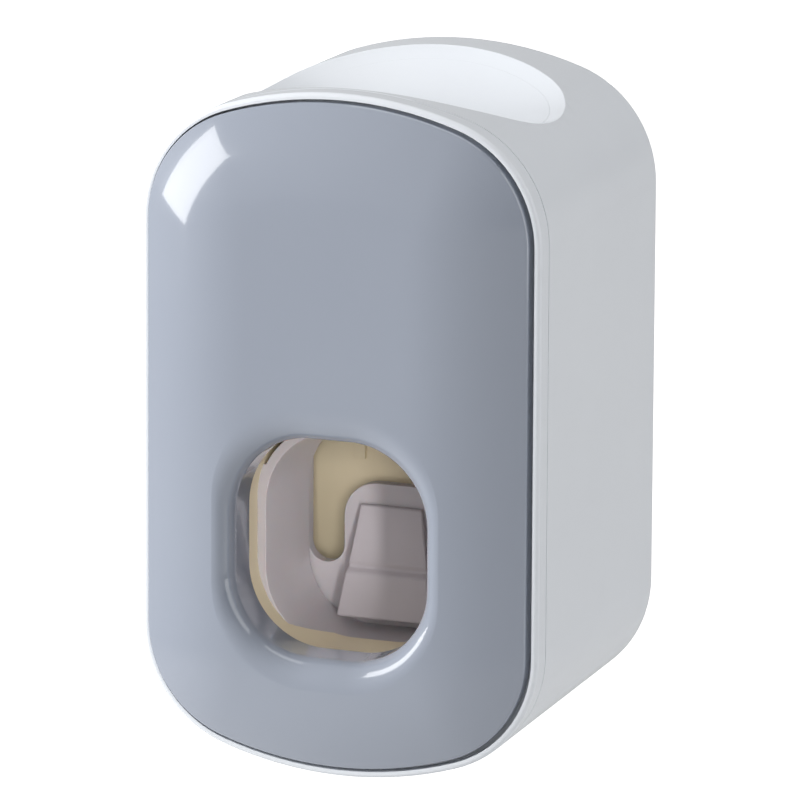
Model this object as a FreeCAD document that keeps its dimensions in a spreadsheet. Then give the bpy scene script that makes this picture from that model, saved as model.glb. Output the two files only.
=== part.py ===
import FreeCAD, Part
import math
import os
import re
import Sketcher
from FreeCAD import Placement, Rotation, Vector

# A wall-hung toothpaste dispenser: a tube stands neck down in the scoop on top, a brush pushed into
# the window tips the lever back, and the lever's rear bar drives a small piston pump forward.
#
# Millimetres. The origin is the middle of the adhesive face on the wall; +Z is up and the front
# faces -Y. "Forward" is the distance from the wall, so a forward place f lies at y = -f.

doc = FreeCAD.newDocument("toothpaste_dispenser")
dims = doc.addObject("Spreadsheet::Sheet", "dims")

SIZES = [
    # body
    ("body_width", 70.0, "over the rim, side to side"),
    ("body_height", 115.0, "over the rim, top to bottom"),
    ("body_depth", 59.0, "back face to rim front"),
    ("corner_radius", 21.0, "corners of the front outline"),
    ("end_radius", 65.0, "crowned top and bottom edges"),
    ("hang_drop", 57.5, "top of the body above the middle of the wall plate"),
    ("wall_gap", 1.0, "wall to the body's back face"),
    ("draft_inset", 1.2, "how much smaller the back is, each side"),
    ("shell_wall", 2.2, "moulded wall"),
    ("back_round", 1.2, "rounding of the back edge"),
    ("weld_gap", 0.05, "cup and back plate in the shell, before welding"),
    # scoop for the tube
    ("scoop_offset", 1.5, "scoop's middle in front of the body's mid-depth"),
    ("scoop_rise", 8.5, "scoop's centre above the top of the body"),
    ("scoop_depth", 11.5, "top of the body to the scoop's floor"),
    ("scoop_half_width", 45.0, "ellipsoid half axis, side to side"),
    ("scoop_margin", 4.1, "ellipsoid half axis short of half the body's depth"),
    ("bowl_wall", 2.0, "wall under the scoop"),
    # wall hanger
    ("pad_thickness", 0.8, "adhesive foam"),
    ("plate_height", 30.0, "plate and pad"),
    ("neck_width", 38.0, "plate neck and pad"),
    ("neck_depth", 2.1, "neck, front to back"),
    ("flange_overhang", 3.5, "flange beyond the neck, each side"),
    ("flange_thickness", 2.0, "flange, front to back"),
    ("hanger_gap", 0.3, "running gap of plate in slot"),
    ("hanger_wall", 2.0, "wall round the slot"),
    ("hanger_spare", 0.5, "lift left over past the lips"),
    # front cover
    ("bezel_depth", 4.0, "rim, front to back"),
    ("parting_gap", 0.2, "fine line between rim and shell"),
    ("rim_width", 1.1, "rim seen from the front"),
    ("rim_round", 0.8, "rounding of the rim's outer edge"),
    ("cover_gap", 0.3, "spigot in shell"),
    ("panel_gap", 0.5, "panel in rim"),
    ("spigot_depth", 5.0, "spigot into the shell"),
    ("spigot_wall", 1.4, "spigot wall"),
    ("spigot_notch", 54.0, "gap in the spigot under the scoop"),
    ("ledge_width", 7.4, "shelf that carries the panel"),
    ("ledge_thickness", 1.5, "shelf, front to back"),
    ("panel_proud", 0.3, "panel's edge in front of the rim"),
    ("panel_crown", 5.4, "panel's middle in front of its edge"),
    ("crown_width", 13.0, "curved band round the panel's flat middle"),
    ("panel_solid", 9.0, "solid band round the hollow behind the panel"),
    ("panel_skin", 3.5, "panel over its hollow"),
    # window
    ("throat_drop", 1.5, "throat's top edge below the plate's middle"),
    ("chin_height", 19.0, "bottom of the body to the throat's bottom edge"),
    ("throat_lift", 1.6, "throat in the panel above the well's middle"),
    ("throat_flat", 3.5, "half the straight run between the throat's corners"),
    ("throat_step", 3.0, "throat narrower than the dish, each side"),
    ("dish_side", 15.0, "side of the body to the dish at the panel's face"),
    ("dish_rise", 6.0, "dish's top edge above the throat's"),
    ("dish_fall", 5.0, "dish's bottom edge below the throat's"),
    ("dish_flat", 3.0, "half the straight run between the dish's corners"),
    ("dish_wall", 2.0, "wall round the throat, behind the panel"),
    ("dish_lip", 3.6, "rolled lip of the dish, front to back"),
    # brush well
    ("well_setback", 9.0, "rim front to the well's front edge"),
    ("well_length", 15.0, "well, front to back"),
    ("well_taper", 1.8, "narrowing of the well to the rear, each side"),
    ("well_margin", 0.4, "well smaller than the throat, each side"),
    ("well_wall", 1.6, "well wall"),
    ("ear_height", 6.0, "screw ears on the well"),
    ("ear_share", 0.243243, "ears above and below the well's middle, of the throat's height"),
    ("ear_length", 6.0, "ears, front to back"),
    # lever
    ("lever_gap", 0.5, "well's rear edge to the lever"),
    ("lever_thickness", 2.2, "lever plate and arms"),
    ("prong_gap", 2.3, "outer prongs to the side walls"),
    ("prong_width", 6.5, "outer prongs"),
    ("tongue_share", 0.324324, "tongue's top below the throat's, of the throat's height"),
    ("tongue_flat", 2.8, "half the straight run across the tongue's top"),
    ("slot_width", 6.4, "slots beside the tongue"),
    ("slot_share", 0.710811, "slot bottoms below the throat's top, of the throat's height"),
    ("lever_tail", 2.5, "lever's bottom edge below the throat's"),
    ("prong_drop", 2.0, "prong plates' top below the plate's middle"),
    ("pivot_setback", 3.3, "pivot behind the lever plate's back"),
    ("pivot_height", 7.0, "pivot above the plate's middle"),
    ("hub_radius", 4.0, "lever hubs"),
    ("bush_wall", 0.8, "lever bush wall"),
    ("pin_radius", 1.5, "pivot pin"),
    ("running_gap", 0.05, "running fit, radial"),
    ("side_gap", 0.3, "hub to chassis side wall"),
    ("bar_forward", 5.0, "rear bar's back from the wall"),
    ("bar_depth", 2.5, "rear bar, front to back"),
    ("bar_low", 7.0, "rear bar's bottom edge below the pump axis"),
    ("bar_height", 5.0, "rear bar, top to bottom"),
    ("push_angle", 12.0, "full push, degrees"),
    # brush pad
    ("pad_top_share", 0.625, "pad's top edge, of the tongue's width"),
    ("pad_foot_share", 0.965909, "pad's bottom edge, of the tongue's width"),
    ("pad_high_share", 0.42, "pad's top below the throat's, of the throat's height"),
    ("pad_low_share", 0.927027, "pad's bottom below the throat's top, of the throat's height"),
    ("pad_groove_share", 0.702703, "groove below the throat's top, of the throat's height"),
    ("pad_groove_depth", 0.8, "groove across the pad"),
    ("pad_lip", 1.2, "pad's thickness at its top"),
    ("pad_toe", 4.6, "pad's thickness at its bottom"),
    # pump
    ("pump_height", 27.0, "pump axis above the plate's middle"),
    ("bore_radius", 7.0, "chamber bore"),
    ("chamber_wall", 2.0, "chamber wall"),
    ("chamber_tail", 12.0, "chamber's rear end behind the tube's axis"),
    ("chamber_setback", 11.2, "rim front to the chamber's front end"),
    ("gland_flange", 1.5, "gland flange"),
    ("gland_plug", 2.0, "gland in the bore"),
    ("rod_radius", 2.5, "piston rod"),
    ("piston_length", 3.7, "piston head"),
    ("piston_rest_gap", 0.3, "piston behind its rest stop, lever to button"),
    ("seal_height", 1.2, "piston ring, radial"),
    ("seal_length", 1.5, "piston ring, along the rod"),
    ("button_radius", 6.5, "rod button"),
    ("button_thickness", 2.0, "rod button"),
    ("tail_radius", 1.8, "rod end in the button"),
    ("cap_flange", 2.5, "front cap flange"),
    ("cap_plug", 1.6, "front cap in the bore"),
    ("cap_seal_height", 1.0, "ring round the cap plug"),
    ("spring_radius", 4.4, "spring wire, middle of the turn"),
    ("spring_wire", 0.4, "spring wire radius"),
    ("spring_pitch", 1.975, "turn to turn, as near as half turns allow"),
    # inlet
    ("turret_radius", 10.0, "inlet turret"),
    ("turret_height", 11.0, "turret's top above the pump axis"),
    ("tube_bore", 6.0, "seal bore radius, takes the tube's neck"),
    ("tube_seal_wall", 2.5, "seal wall"),
    ("tube_seal_lip", 1.5, "seal's flange beyond its wall"),
    ("tube_seal_lip_thickness", 1.0, "seal's flange"),
    ("collar_wall", 2.5, "cup's collar round the seal"),
    ("gasket_thickness", 1.0, "ring between turret and collar"),
    ("seat_radius", 8.0, "inlet seat"),
    ("seat_thickness", 2.0, "inlet seat"),
    ("port_forward", 1.8, "inlet port in front of the tube's axis"),
    ("inlet_port", 3.0, "inlet port radius"),
    ("inlet_bore", 4.8, "bore under the inlet flap"),
    ("flap_overlap", 0.9, "flap beyond its port"),
    ("flap_thickness", 0.8, "silicone flaps"),
    ("flap_gap", 0.1, "flap to its seat"),
    # outlet
    ("outlet_inset", 6.5, "outlet axis in front of the well's rear edge"),
    ("outlet_radius", 6.0, "outlet pipe"),
    ("outlet_port", 2.7, "outlet pipe bore radius"),
    ("outlet_end", 8.0, "pipe's lower end above the plate's middle"),
    ("collar_grip", 4.0, "collar up the outlet pipe"),
    ("collar_room", 4.8, "space under the outlet flap"),
    ("collar_bore", 4.6, "bore of that space"),
    ("collar_skin", 1.2, "collar wall"),
    ("nozzle_neck", 3.2, "nozzle through the collar"),
    ("nozzle_shoulder", 4.4, "nozzle under the collar"),
    ("nozzle_end", 3.0, "nozzle's lower end"),
    ("nozzle_bore", 2.0, "nozzle bore"),
    ("nozzle_drop", 3.4, "nozzle's lower end below the plate's middle"),
    ("nozzle_room", 0.8, "hole in the well round the nozzle"),
    # chassis
    ("side_inset", 11.0, "side of the body to the side walls' inner faces"),
    ("side_wall", 2.0, "side walls and guard"),
    ("side_front", 10.0, "rim front to the side walls' front edge"),
    ("side_tail", 12.3, "side walls' rear edge behind the lever plate's back"),
    ("side_drop", 3.5, "side walls' bottom below the throat's bottom edge"),
    ("deck_top", 19.0, "deck's top above the plate's middle"),
    ("deck_thickness", 2.5, "deck under the chamber"),
    ("guard_gap", 1.6, "pushed lever to the guard"),
    ("guard_drop", 3.0, "guard's top below the plate's middle"),
    ("web_width", 12.0, "web from guard to chamber"),
    ("rib_spread", 9.0, "guard ribs from the middle"),
    ("rib_width", 2.0, "guard ribs"),
    ("rib_height", 0.9, "guard ribs, proud of the guard above the lever"),
    ("rib_drop", 11.5, "ribs' lower end below the plate's middle"),
    ("stop_radius", 2.2, "rubber stops"),
    ("stop_rise", 7.0, "stops above the lever's bottom edge"),
    ("stop_inset", 4.2, "stops within the lever's outer edges"),
    ("stop_gap", 0.15, "pushed lever to its stops"),
    ("lug_inset", 6.8, "side of the body to the chassis screws"),
    ("lug_radius", 3.2, "lugs and back plate posts"),
    ("lug_step", 1.0, "lugs' rear face behind the side walls' rear edge"),
    ("lug_thickness", 3.0, "lugs"),
    ("lug_rise", 12.0, "lower screws above the side walls' bottom"),
    ("lug_high", 14.0, "upper screws above the plate's middle"),
    # fasteners
    ("screw_radius", 1.3, "screw shank"),
    ("screw_head_radius", 2.1, "screw head"),
    ("screw_head_height", 1.6, "screw head"),
    ("screw_socket", 1.2, "hex socket, over its corners, radius"),
    ("screw_socket_depth", 0.9, "hex socket"),
    ("screw_bite", 7.0, "chassis screw in its post"),
    ("well_screw_bite", 3.0, "well screw in its ear"),
    ("panel_screw_inset", 6.4, "panel screws from the rim's outer edge"),
    ("panel_screw_end", 35.5, "panel screws from the ends of the body"),
    ("panel_screw_bite", 2.6, "panel screw in the panel"),
    ("clip_radius", 3.0, "pivot clips"),
    ("clip_thickness", 0.8, "pivot clips"),
    ("clip_groove", 0.4, "pin groove under a clip"),
    ("pin_tail", 0.8, "pin beyond its clips"),
]

for row, (alias, value, note) in enumerate(SIZES, start=1):
    dims.set(f"A{row}", alias)
    dims.set(f"B{row}", f"{value}")
    dims.set(f"C{row}", note)
    dims.setAlias(f"B{row}", alias)
doc.recompute()

# Places that several pieces share, each worked out once from the sheet.
BODY_FOOT = "(hang_drop - body_height)"
BODY_MIDDLE = "(hang_drop - body_height / 2)"
RIM_FRONT = "(wall_gap + body_depth)"
PARTING = f"({RIM_FRONT} - bezel_depth)"
MOUTH = f"({PARTING} - parting_gap)"
INNER_BACK = "(wall_gap + shell_wall)"
WELL_FRONT = f"({RIM_FRONT} - well_setback)"
WELL_REAR = f"({WELL_FRONT} - well_length)"
LEVER_FRONT = f"({WELL_REAR} - lever_gap)"
LEVER_BACK = f"({LEVER_FRONT} - lever_thickness)"
LEVER_HALF = "(lever_width / 2)"
ARM_INNER = f"({LEVER_HALF} - lever_thickness)"
HUB_OUTER = "(side_inner - side_gap)"
SIDE_OUTER = "(side_inner + side_wall)"
SIDE_FRONT = f"({RIM_FRONT} - side_front)"
TUBE_FORWARD = "(wall_gap + scoop_setback)"
PORT_FORWARD = f"({TUBE_FORWARD} + port_forward)"
SCOOP_CENTRE = "(hang_drop + scoop_rise)"
SCOOP_FLOOR = "(hang_drop - scoop_depth)"
TURRET_TOP = "(pump_height + turret_height)"
COLLAR_FOOT = f"({TURRET_TOP} + gasket_thickness)"
SEAL_OUTER = "(tube_bore + tube_seal_wall)"
SEAT_FOOT = f"({TURRET_TOP} - seat_thickness)"
CHAMBER_OUTER = "(bore_radius + chamber_wall)"
GLAND_REAR = "(chamber_rear - gland_flange)"
GLAND_FRONT = "(chamber_rear + gland_plug)"
PISTON_REAR = f"({GLAND_FRONT} + piston_rest_gap)"
PISTON_FRONT = f"({PISTON_REAR} + piston_length)"
BUTTON_REAR = "(bar_forward + bar_depth + piston_rest_gap)"
BUTTON_FRONT = f"({BUTTON_REAR} + button_thickness)"
COLLAR_FLOOR = "(outlet_end - collar_room)"
COLLAR_END = f"({COLLAR_FLOOR} - collar_skin)"
PLATE_REAR = "pad_thickness"
FLANGE_REAR = "(pad_thickness + neck_depth)"
FLANGE_FRONT = f"({FLANGE_REAR} + flange_thickness)"
SLOT_FLOOR = f"({FLANGE_FRONT} + hanger_gap)"
LIP_FRONT = f"({FLANGE_REAR} - hanger_gap)"
SLOT_HALF = "(neck_width / 2 + flange_overhang + hanger_gap)"
SLOT_TOP = "(plate_height / 2 + hanger_gap)"
SLOT_LOW = "(plate_height * 3 / 2 + hanger_spare)"
LIP_LOW = "(plate_height / 2 - hanger_spare)"
PANEL_EDGE = f"({RIM_FRONT} + panel_proud)"
PANEL_FACE = f"({PANEL_EDGE} + panel_crown)"
PANEL_REAR = f"({PARTING} + ledge_thickness)"
PANEL_OFF = "(rim_width + panel_gap)"
LIP_REAR = f"({PANEL_FACE} - dish_lip)"

# Sizes and places that follow from the sheet, by name, so that what seats together moves together.
FOLLOWING = {
    "scoop_setback": "(body_depth / 2 + scoop_offset)",
    "scoop_half_depth": "(body_depth / 2 - scoop_margin)",
    "throat_foot": f"({BODY_FOOT} + chin_height)",
    "throat_height": "(-throat_drop - throat_foot)",
    "throat_width": "(dish_width - 2 * throat_step)",
    "throat_round": "(min(throat_width; throat_height) / 2 - throat_flat)",
    "dish_width": "(body_width - 2 * dish_side)",
    "dish_height": "(throat_height + dish_rise + dish_fall)",
    "dish_round": "(min(dish_width; dish_height) / 2 - dish_flat)",
    "dish_drop": "(well_drop - throat_lift + (dish_fall - dish_rise) / 2)",
    "well_drop": "((throat_drop - throat_foot) / 2)",
    "ear_spread": "(ear_share * throat_height)",
    "lever_width": "(2 * (side_inner - prong_gap))",
    "lever_drop": "(lever_tail - throat_foot)",
    "tongue_width": "(lever_width - 2 * (prong_width + slot_width))",
    "tongue_drop": "(throat_drop + tongue_share * throat_height)",
    "tongue_round": "(tongue_width / 2 - tongue_flat)",
    "slot_drop": "(throat_drop + slot_share * throat_height)",
    "pivot_forward": f"({LEVER_BACK} - pivot_setback)",
    "pad_top_width": "(pad_top_share * tongue_width)",
    "pad_foot_width": "(pad_foot_share * tongue_width)",
    "pad_top_drop": "(throat_drop + pad_high_share * throat_height)",
    "pad_foot_drop": "(throat_drop + pad_low_share * throat_height)",
    "pad_groove_drop": "(throat_drop + pad_groove_share * throat_height)",
    "chamber_rear": f"({TUBE_FORWARD} - chamber_tail)",
    "chamber_front": f"({RIM_FRONT} - chamber_setback)",
    "outlet_forward": f"({WELL_REAR} + outlet_inset)",
    "side_inner": "(body_width / 2 - side_inset)",
    "side_rear": f"({LEVER_BACK} - side_tail)",
    "side_low": "(side_drop - throat_foot)",
    "stop_drop": "(pivot_height + lever_drop - stop_rise)",
    "stop_spread": "(lever_width / 2 - stop_inset)",
    "lug_reach": "(body_width / 2 - lug_inset)",
    "lug_low": "(side_low - lug_rise)",
    "lug_forward": "(side_rear - lug_step)",
}


def named(names):
    """A pattern that finds any of the names as a whole word."""
    return re.compile(r"\b(" + "|".join(names) + r")\b")


ALIASES = named(alias for alias, value, note in SIZES)
FOLLOWERS = named(FOLLOWING)


def spelled(text):
    """The expression with everything that follows written out in sizes of the sheet."""
    while FOLLOWERS.search(text):
        text = FOLLOWERS.sub(lambda found: FOLLOWING[found.group(1)], text)
    return text


def ex(text):
    """The expression with each size read from the sheet."""
    return ALIASES.sub(r"dims.\1", spelled(text))


def num(text):
    """The expression's present value."""
    return float(dims.evalExpression(spelled(text)))


def bind(thing, **sizes):
    """Tie properties to expressions; a double underscore stands for a dot."""
    for name, text in sizes.items():
        thing.setExpression(name.replace("__", "."), ex(text))


def inset(forward):
    """How far the drafted outside lies within the front outline at a forward place."""
    return f"(draft_inset * ({RIM_FRONT} - {forward}) / body_depth)"


def pushed(forward, height):
    """Where a point of the lever lies after the full push: its forward place and its height."""
    out = f"({forward} - pivot_forward)"
    up = f"({height} - pivot_height)"
    new_out = f"(pivot_forward + {out} * cos(push_angle) + {up} * sin(push_angle))"
    new_up = f"(pivot_height - {out} * sin(push_angle) + {up} * cos(push_angle))"
    return new_out, new_up


# Sketches

FRONT, SIDE, PLAN = "XZ_Plane", "YZ_Plane", "XY_Plane"


def new_body(name):
    """An empty body whose label is its node."""
    made = doc.addObject("PartDesign::Body", name)
    made.Label = name
    return made


def origin_plane(body, role):
    """One of the body's own origin planes."""
    return next(item for item in body.Origin.OriginFeatures if item.Role == role)


def sketch(body, name, plane, out="0", up="0"):
    """A sketch on an origin plane, moved out along its normal and up in its own frame."""
    made = body.newObject("Sketcher::SketchObject", name)
    made.AttachmentSupport = [(origin_plane(body, plane), "")]
    made.MapMode = "FlatFace"
    made.setExpression("AttachmentOffset.Base.z", ex(out))
    made.setExpression("AttachmentOffset.Base.y", ex(up))
    return made


def dimension(drawing, kind, text, *ends):
    """A dimension bound to the sheet."""
    at = drawing.addConstraint(Sketcher.Constraint(kind, *ends, num(text)))
    name = f"{kind}_{at}"
    drawing.renameConstraint(at, name)
    drawing.setExpression(f"Constraints.{name}", ex(text))


ORIGIN = (-1, 1)


def polygon(drawing, corners):
    """A closed loop of straight edges, with both places of each corner bound."""
    spots = [Vector(num(x), num(y), 0) for x, y in corners]
    first = drawing.GeometryCount
    count = len(spots)
    for n in range(count):
        drawing.addGeometry(Part.LineSegment(spots[n], spots[(n + 1) % count]), False)
    for n in range(count):
        joined = Sketcher.Constraint("Coincident", first + n, 2, first + (n + 1) % count, 1)
        drawing.addConstraint(joined)
    for n, (x, y) in enumerate(corners):
        dimension(drawing, "DistanceX", x, *ORIGIN, first + n, 1)
        dimension(drawing, "DistanceY", y, *ORIGIN, first + n, 1)


def rectangle(drawing, left, right, low, high):
    """An upright rectangle."""
    polygon(drawing, [(left, low), (right, low), (right, high), (left, high)])


def circle(drawing, x, y, radius):
    """A circle with its middle and radius bound."""
    round_one = Part.Circle(Vector(num(x), num(y), 0), Vector(0, 0, 1), num(radius))
    n = drawing.addGeometry(round_one, False)
    dimension(drawing, "Radius", radius, n)
    dimension(drawing, "DistanceX", x, *ORIGIN, n, 3)
    dimension(drawing, "DistanceY", y, *ORIGIN, n, 3)


def arc(middle, radius, start, end):
    """An arc of a circle, its ends given in degrees."""
    whole = Part.Circle(middle, Vector(0, 0, 1), radius)
    return Part.ArcOfCircle(whole, math.radians(start), math.radians(end))


def chain(drawing, pieces):
    """Add edges that run on into each other smoothly, and close the loop."""
    first = drawing.GeometryCount
    for piece in pieces:
        drawing.addGeometry(piece, False)
    count = len(pieces)
    for n in range(count):
        meets = Sketcher.Constraint("Tangent", first + n, 2, first + (n + 1) % count, 1)
        drawing.addConstraint(meets)
    return first


def rounded(drawing, half_width, half_height, round_radius, middle="0"):
    """A rectangle with round corners, its middle on the sketch's upright axis."""
    w, h, r, c = num(half_width), num(half_height), num(round_radius), num(middle)
    x, y = w - r, h - r
    first = chain(drawing, [
        Part.LineSegment(Vector(w, c - y, 0), Vector(w, c + y, 0)),
        arc(Vector(x, c + y, 0), r, 0, 90),
        Part.LineSegment(Vector(x, c + h, 0), Vector(-x, c + h, 0)),
        arc(Vector(-x, c + y, 0), r, 90, 180),
        Part.LineSegment(Vector(-w, c + y, 0), Vector(-w, c - y, 0)),
        arc(Vector(-x, c - y, 0), r, 180, 270),
        Part.LineSegment(Vector(-x, c - h, 0), Vector(x, c - h, 0)),
        arc(Vector(x, c - y, 0), r, 270, 360),
    ])
    right, top, left, low = first, first + 2, first + 4, first + 6
    for upright in (right, left):
        drawing.addConstraint(Sketcher.Constraint("Vertical", upright))
    for level in (top, low):
        drawing.addConstraint(Sketcher.Constraint("Horizontal", level))
    for other in (3, 5, 7):
        drawing.addConstraint(Sketcher.Constraint("Equal", first + 1, first + other))
    dimension(drawing, "Radius", round_radius, first + 1)
    dimension(drawing, "DistanceX", half_width, *ORIGIN, right, 1)
    dimension(drawing, "DistanceX", f"-({half_width})", *ORIGIN, left, 1)
    dimension(drawing, "DistanceY", f"{middle} + {half_height}", *ORIGIN, top, 1)
    dimension(drawing, "DistanceY", f"{middle} - ({half_height})", *ORIGIN, low, 1)


def outline(drawing, off):
    """The body's front outline, inset all round: straight sides, round corners, crowned ends."""
    half_width, half_height = f"(body_width / 2 - {off})", f"(body_height / 2 - {off})"
    corner, end = f"(corner_radius - {off})", f"(end_radius - {off})"
    w, h, r, big = num(half_width), num(half_height), num(corner), num(end)
    c = num(BODY_MIDDLE)
    x = w - r
    rise = h - big
    y = rise + math.sqrt((big - r) ** 2 - x ** 2)
    lean = math.degrees(math.atan2(y - rise, x))
    first = chain(drawing, [
        Part.LineSegment(Vector(w, c - y, 0), Vector(w, c + y, 0)),
        arc(Vector(x, c + y, 0), r, 0, lean),
        arc(Vector(0, c + rise, 0), big, lean, 180 - lean),
        arc(Vector(-x, c + y, 0), r, 180 - lean, 180),
        Part.LineSegment(Vector(-w, c + y, 0), Vector(-w, c - y, 0)),
        arc(Vector(-x, c - y, 0), r, 180, 180 + lean),
        arc(Vector(0, c - rise, 0), big, 180 + lean, 360 - lean),
        arc(Vector(x, c - y, 0), r, 360 - lean, 360),
    ])
    right, top, left, low = first, first + 2, first + 4, first + 6
    for upright in (right, left):
        drawing.addConstraint(Sketcher.Constraint("Vertical", upright))
    for other in (3, 5, 7):
        drawing.addConstraint(Sketcher.Constraint("Equal", first + 1, first + other))
    for crown in (top, low):
        drawing.addConstraint(Sketcher.Constraint("PointOnObject", crown, 3, -2))
    dimension(drawing, "Radius", corner, first + 1)
    dimension(drawing, "Radius", end, top)
    dimension(drawing, "Radius", end, low)
    dimension(drawing, "DistanceX", half_width, *ORIGIN, right, 1)
    dimension(drawing, "DistanceX", f"-{half_width}", *ORIGIN, left, 1)
    dimension(drawing, "DistanceY", f"{BODY_MIDDLE} + {half_height} - {end}", *ORIGIN, top, 3)
    dimension(drawing, "DistanceY", f"{BODY_MIDDLE} + {end} - {half_height}", *ORIGIN, low, 3)


# Features

def feature(body, kind, drawing):
    """A feature of the body that uses a sketch."""
    made = body.newObject(f"PartDesign::{kind}", f"{drawing.Name}_{kind}")
    made.Profile = drawing
    return made


def run(body, drawing, length, cut=False, back=False, both=False):
    """Pad or pocket a sketch. Without back, a front sketch runs forward in either case."""
    made = feature(body, "Pocket" if cut else "Pad", drawing)
    made.Type = 0
    bind(made, Length=length)
    made.Reversed = back != cut
    if both:
        made.SideType = "Symmetric"
    doc.recompute()
    return made


def loft(body, drawing, *others, cut=False, smooth=False):
    """A loft from one sketch through the others, straight between them unless it is smooth."""
    made = feature(body, "SubtractiveLoft" if cut else "AdditiveLoft", drawing)
    made.Sections = list(others)
    made.Ruled = not smooth
    doc.recompute()
    return made


def turn(body, drawing, axis):
    """A full turn of a sketch about one of its own axes."""
    made = feature(body, "Revolution", drawing)
    made.ReferenceAxis = (drawing, [axis])
    doc.recompute()
    return made


def mirror(body, *features):
    """The same features on the other side of the middle."""
    made = body.newObject("PartDesign::Mirrored", f"{body.Name}_mirrored")
    made.Originals = list(features)
    made.MirrorPlane = (origin_plane(body, SIDE), [""])
    body.Tip = made
    doc.recompute()
    return made


def dress(body, kind, size, wanted, **sizes):
    """A fillet or chamfer on the edges that a test picks."""
    base = body.Tip
    names = [f"Edge{n}" for n, edge in enumerate(base.Shape.Edges, start=1) if wanted(edge)]
    made = body.newObject(f"PartDesign::{kind}", f"{body.Name}_{kind}")
    made.Base = (base, names)
    bind(made, **{size: sizes[size]})
    body.Tip = made
    doc.recompute()
    return made


def at_forward(forward):
    """A test for edges that lie wholly at one forward place."""
    y = -num(forward)

    def test(edge):
        box = edge.BoundBox
        return abs(box.YMin - y) < 1e-4 and abs(box.YMax - y) < 1e-4
    return test


def spun(name, plane, axis, corners, out="0", up="0"):
    """A turned piece: a half profile and its full turn."""
    body = new_body(name)
    drawing = sketch(body, f"{name}_profile", plane, out, up)
    polygon(drawing, corners)
    turn(body, drawing, axis)
    return body


def along_pump(name, corners):
    """A piece turned about the pump's axis; corners are forward place and radius."""
    profile = [(f"-({forward})", radius) for forward, radius in corners]
    return spun(name, SIDE, "H_Axis", profile, up="pump_height")


def upright(name, forward, corners):
    """A piece turned about an upright axis; corners are radius and height."""
    return spun(name, FRONT, "V_Axis", corners, out=forward)


# Primitives

TO_FRONT = Rotation(Vector(1, 0, 0), 90)
TO_BACK = Rotation(Vector(1, 0, 0), -90)
TO_RIGHT = Rotation(Vector(0, 1, 0), 90)
TO_LEFT = Rotation(Vector(0, 1, 0), -90)
UP = Rotation()


def primitive(kind, name, x, forward, z, facing=UP, **sizes):
    """A primitive at a place, its sizes and place bound."""
    made = doc.addObject(f"Part::{kind}", name)
    made.Placement = Placement(Vector(), facing)
    bind(made, Placement__Base__x=x, Placement__Base__y=f"-({forward})", Placement__Base__z=z, **sizes)
    return made


def cylinder(name, x, forward, z, radius, length, facing=UP):
    """A cylinder that starts at a place and runs the way it faces."""
    return primitive("Cylinder", name, x, forward, z, facing, Radius=radius, Height=length)


def box(name, x, front, z, width, depth, height):
    """A box from its left, front and bottom faces."""
    return primitive("Box", name, x, front, z, UP, Length=width, Width=depth, Height=height)


def many(kind, name, things):
    """A fuse, common or compound of several objects."""
    made = doc.addObject(f"Part::{kind}", name)
    if kind == "Compound":
        made.Links = things
    else:
        made.Shapes = things
    made.Label = name
    doc.recompute()
    return made


def cut(name, base, tool):
    """One object less another."""
    made = doc.addObject("Part::Cut", name)
    made.Base = base
    made.Tool = tool
    made.Label = name
    doc.recompute()
    return made


def ring(name, x, forward, z, outer, inner, length, facing=UP):
    """A plain ring."""
    solid = cylinder(f"{name}_outer", x, forward, z, outer, length, facing)
    hole = cylinder(f"{name}_hole", x, forward, z, inner, length, facing)
    return cut(name, solid, hole)


def screw(name, x, forward, z, grip, facing, step):
    """A hex-socket screw whose head sits on a face; step is the way in, as signs of x and forward."""
    in_x, in_forward = step

    def shifted(by):
        return f"{x} + ({in_x}) * ({by})", f"{forward} + ({in_forward}) * ({by})"
    head_x, head_forward = shifted("-screw_head_height")
    head = cylinder(f"{name}_head", head_x, head_forward, z, "screw_head_radius", "screw_head_height", facing)
    shank = cylinder(f"{name}_shank", x, forward, z, "screw_radius", grip, facing)
    whole = many("MultiFuse", f"{name}_blank", [head, shank])
    socket = primitive("Prism", f"{name}_socket", head_x, head_forward, z, facing,
                       Circumradius="screw_socket", Height="screw_socket_depth")
    socket.Polygon = 6
    return cut(name, whole, socket)


SIDES = (("right", "1"), ("left", "-1"))


# Wall hanger

def build_wall():
    """The foam pad on the wall and the T-section plate stuck to it."""
    foam = box("adhesive_pad", "-neck_width / 2", "pad_thickness", "-plate_height / 2",
               "neck_width", "pad_thickness", "plate_height")
    plate = new_body("wall_plate")
    section = sketch(plate, "plate_section", PLAN, "-plate_height / 2")
    neck, wing = "neck_width / 2", "neck_width / 2 + flange_overhang"
    near, mid, far = f"-{PLATE_REAR}", f"-{FLANGE_REAR}", f"-{FLANGE_FRONT}"
    polygon(section, [(f"-({neck})", near), (f"-({neck})", mid), (f"-({wing})", mid), (f"-({wing})", far),
                      (wing, far), (wing, mid), (neck, mid), (neck, near)])
    run(plate, section, "plate_height")
    return [foam, plate]


# Housing

def outside(body, name, rear, front, extra="0"):
    """Two outline sketches and the drafted loft between them."""
    back = sketch(body, f"{name}_rear", FRONT, rear)
    outline(back, f"({inset(rear)} + {extra})")
    face = sketch(body, f"{name}_front", FRONT, front)
    outline(face, f"({inset(front)} + {extra})")
    return back, face


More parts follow.
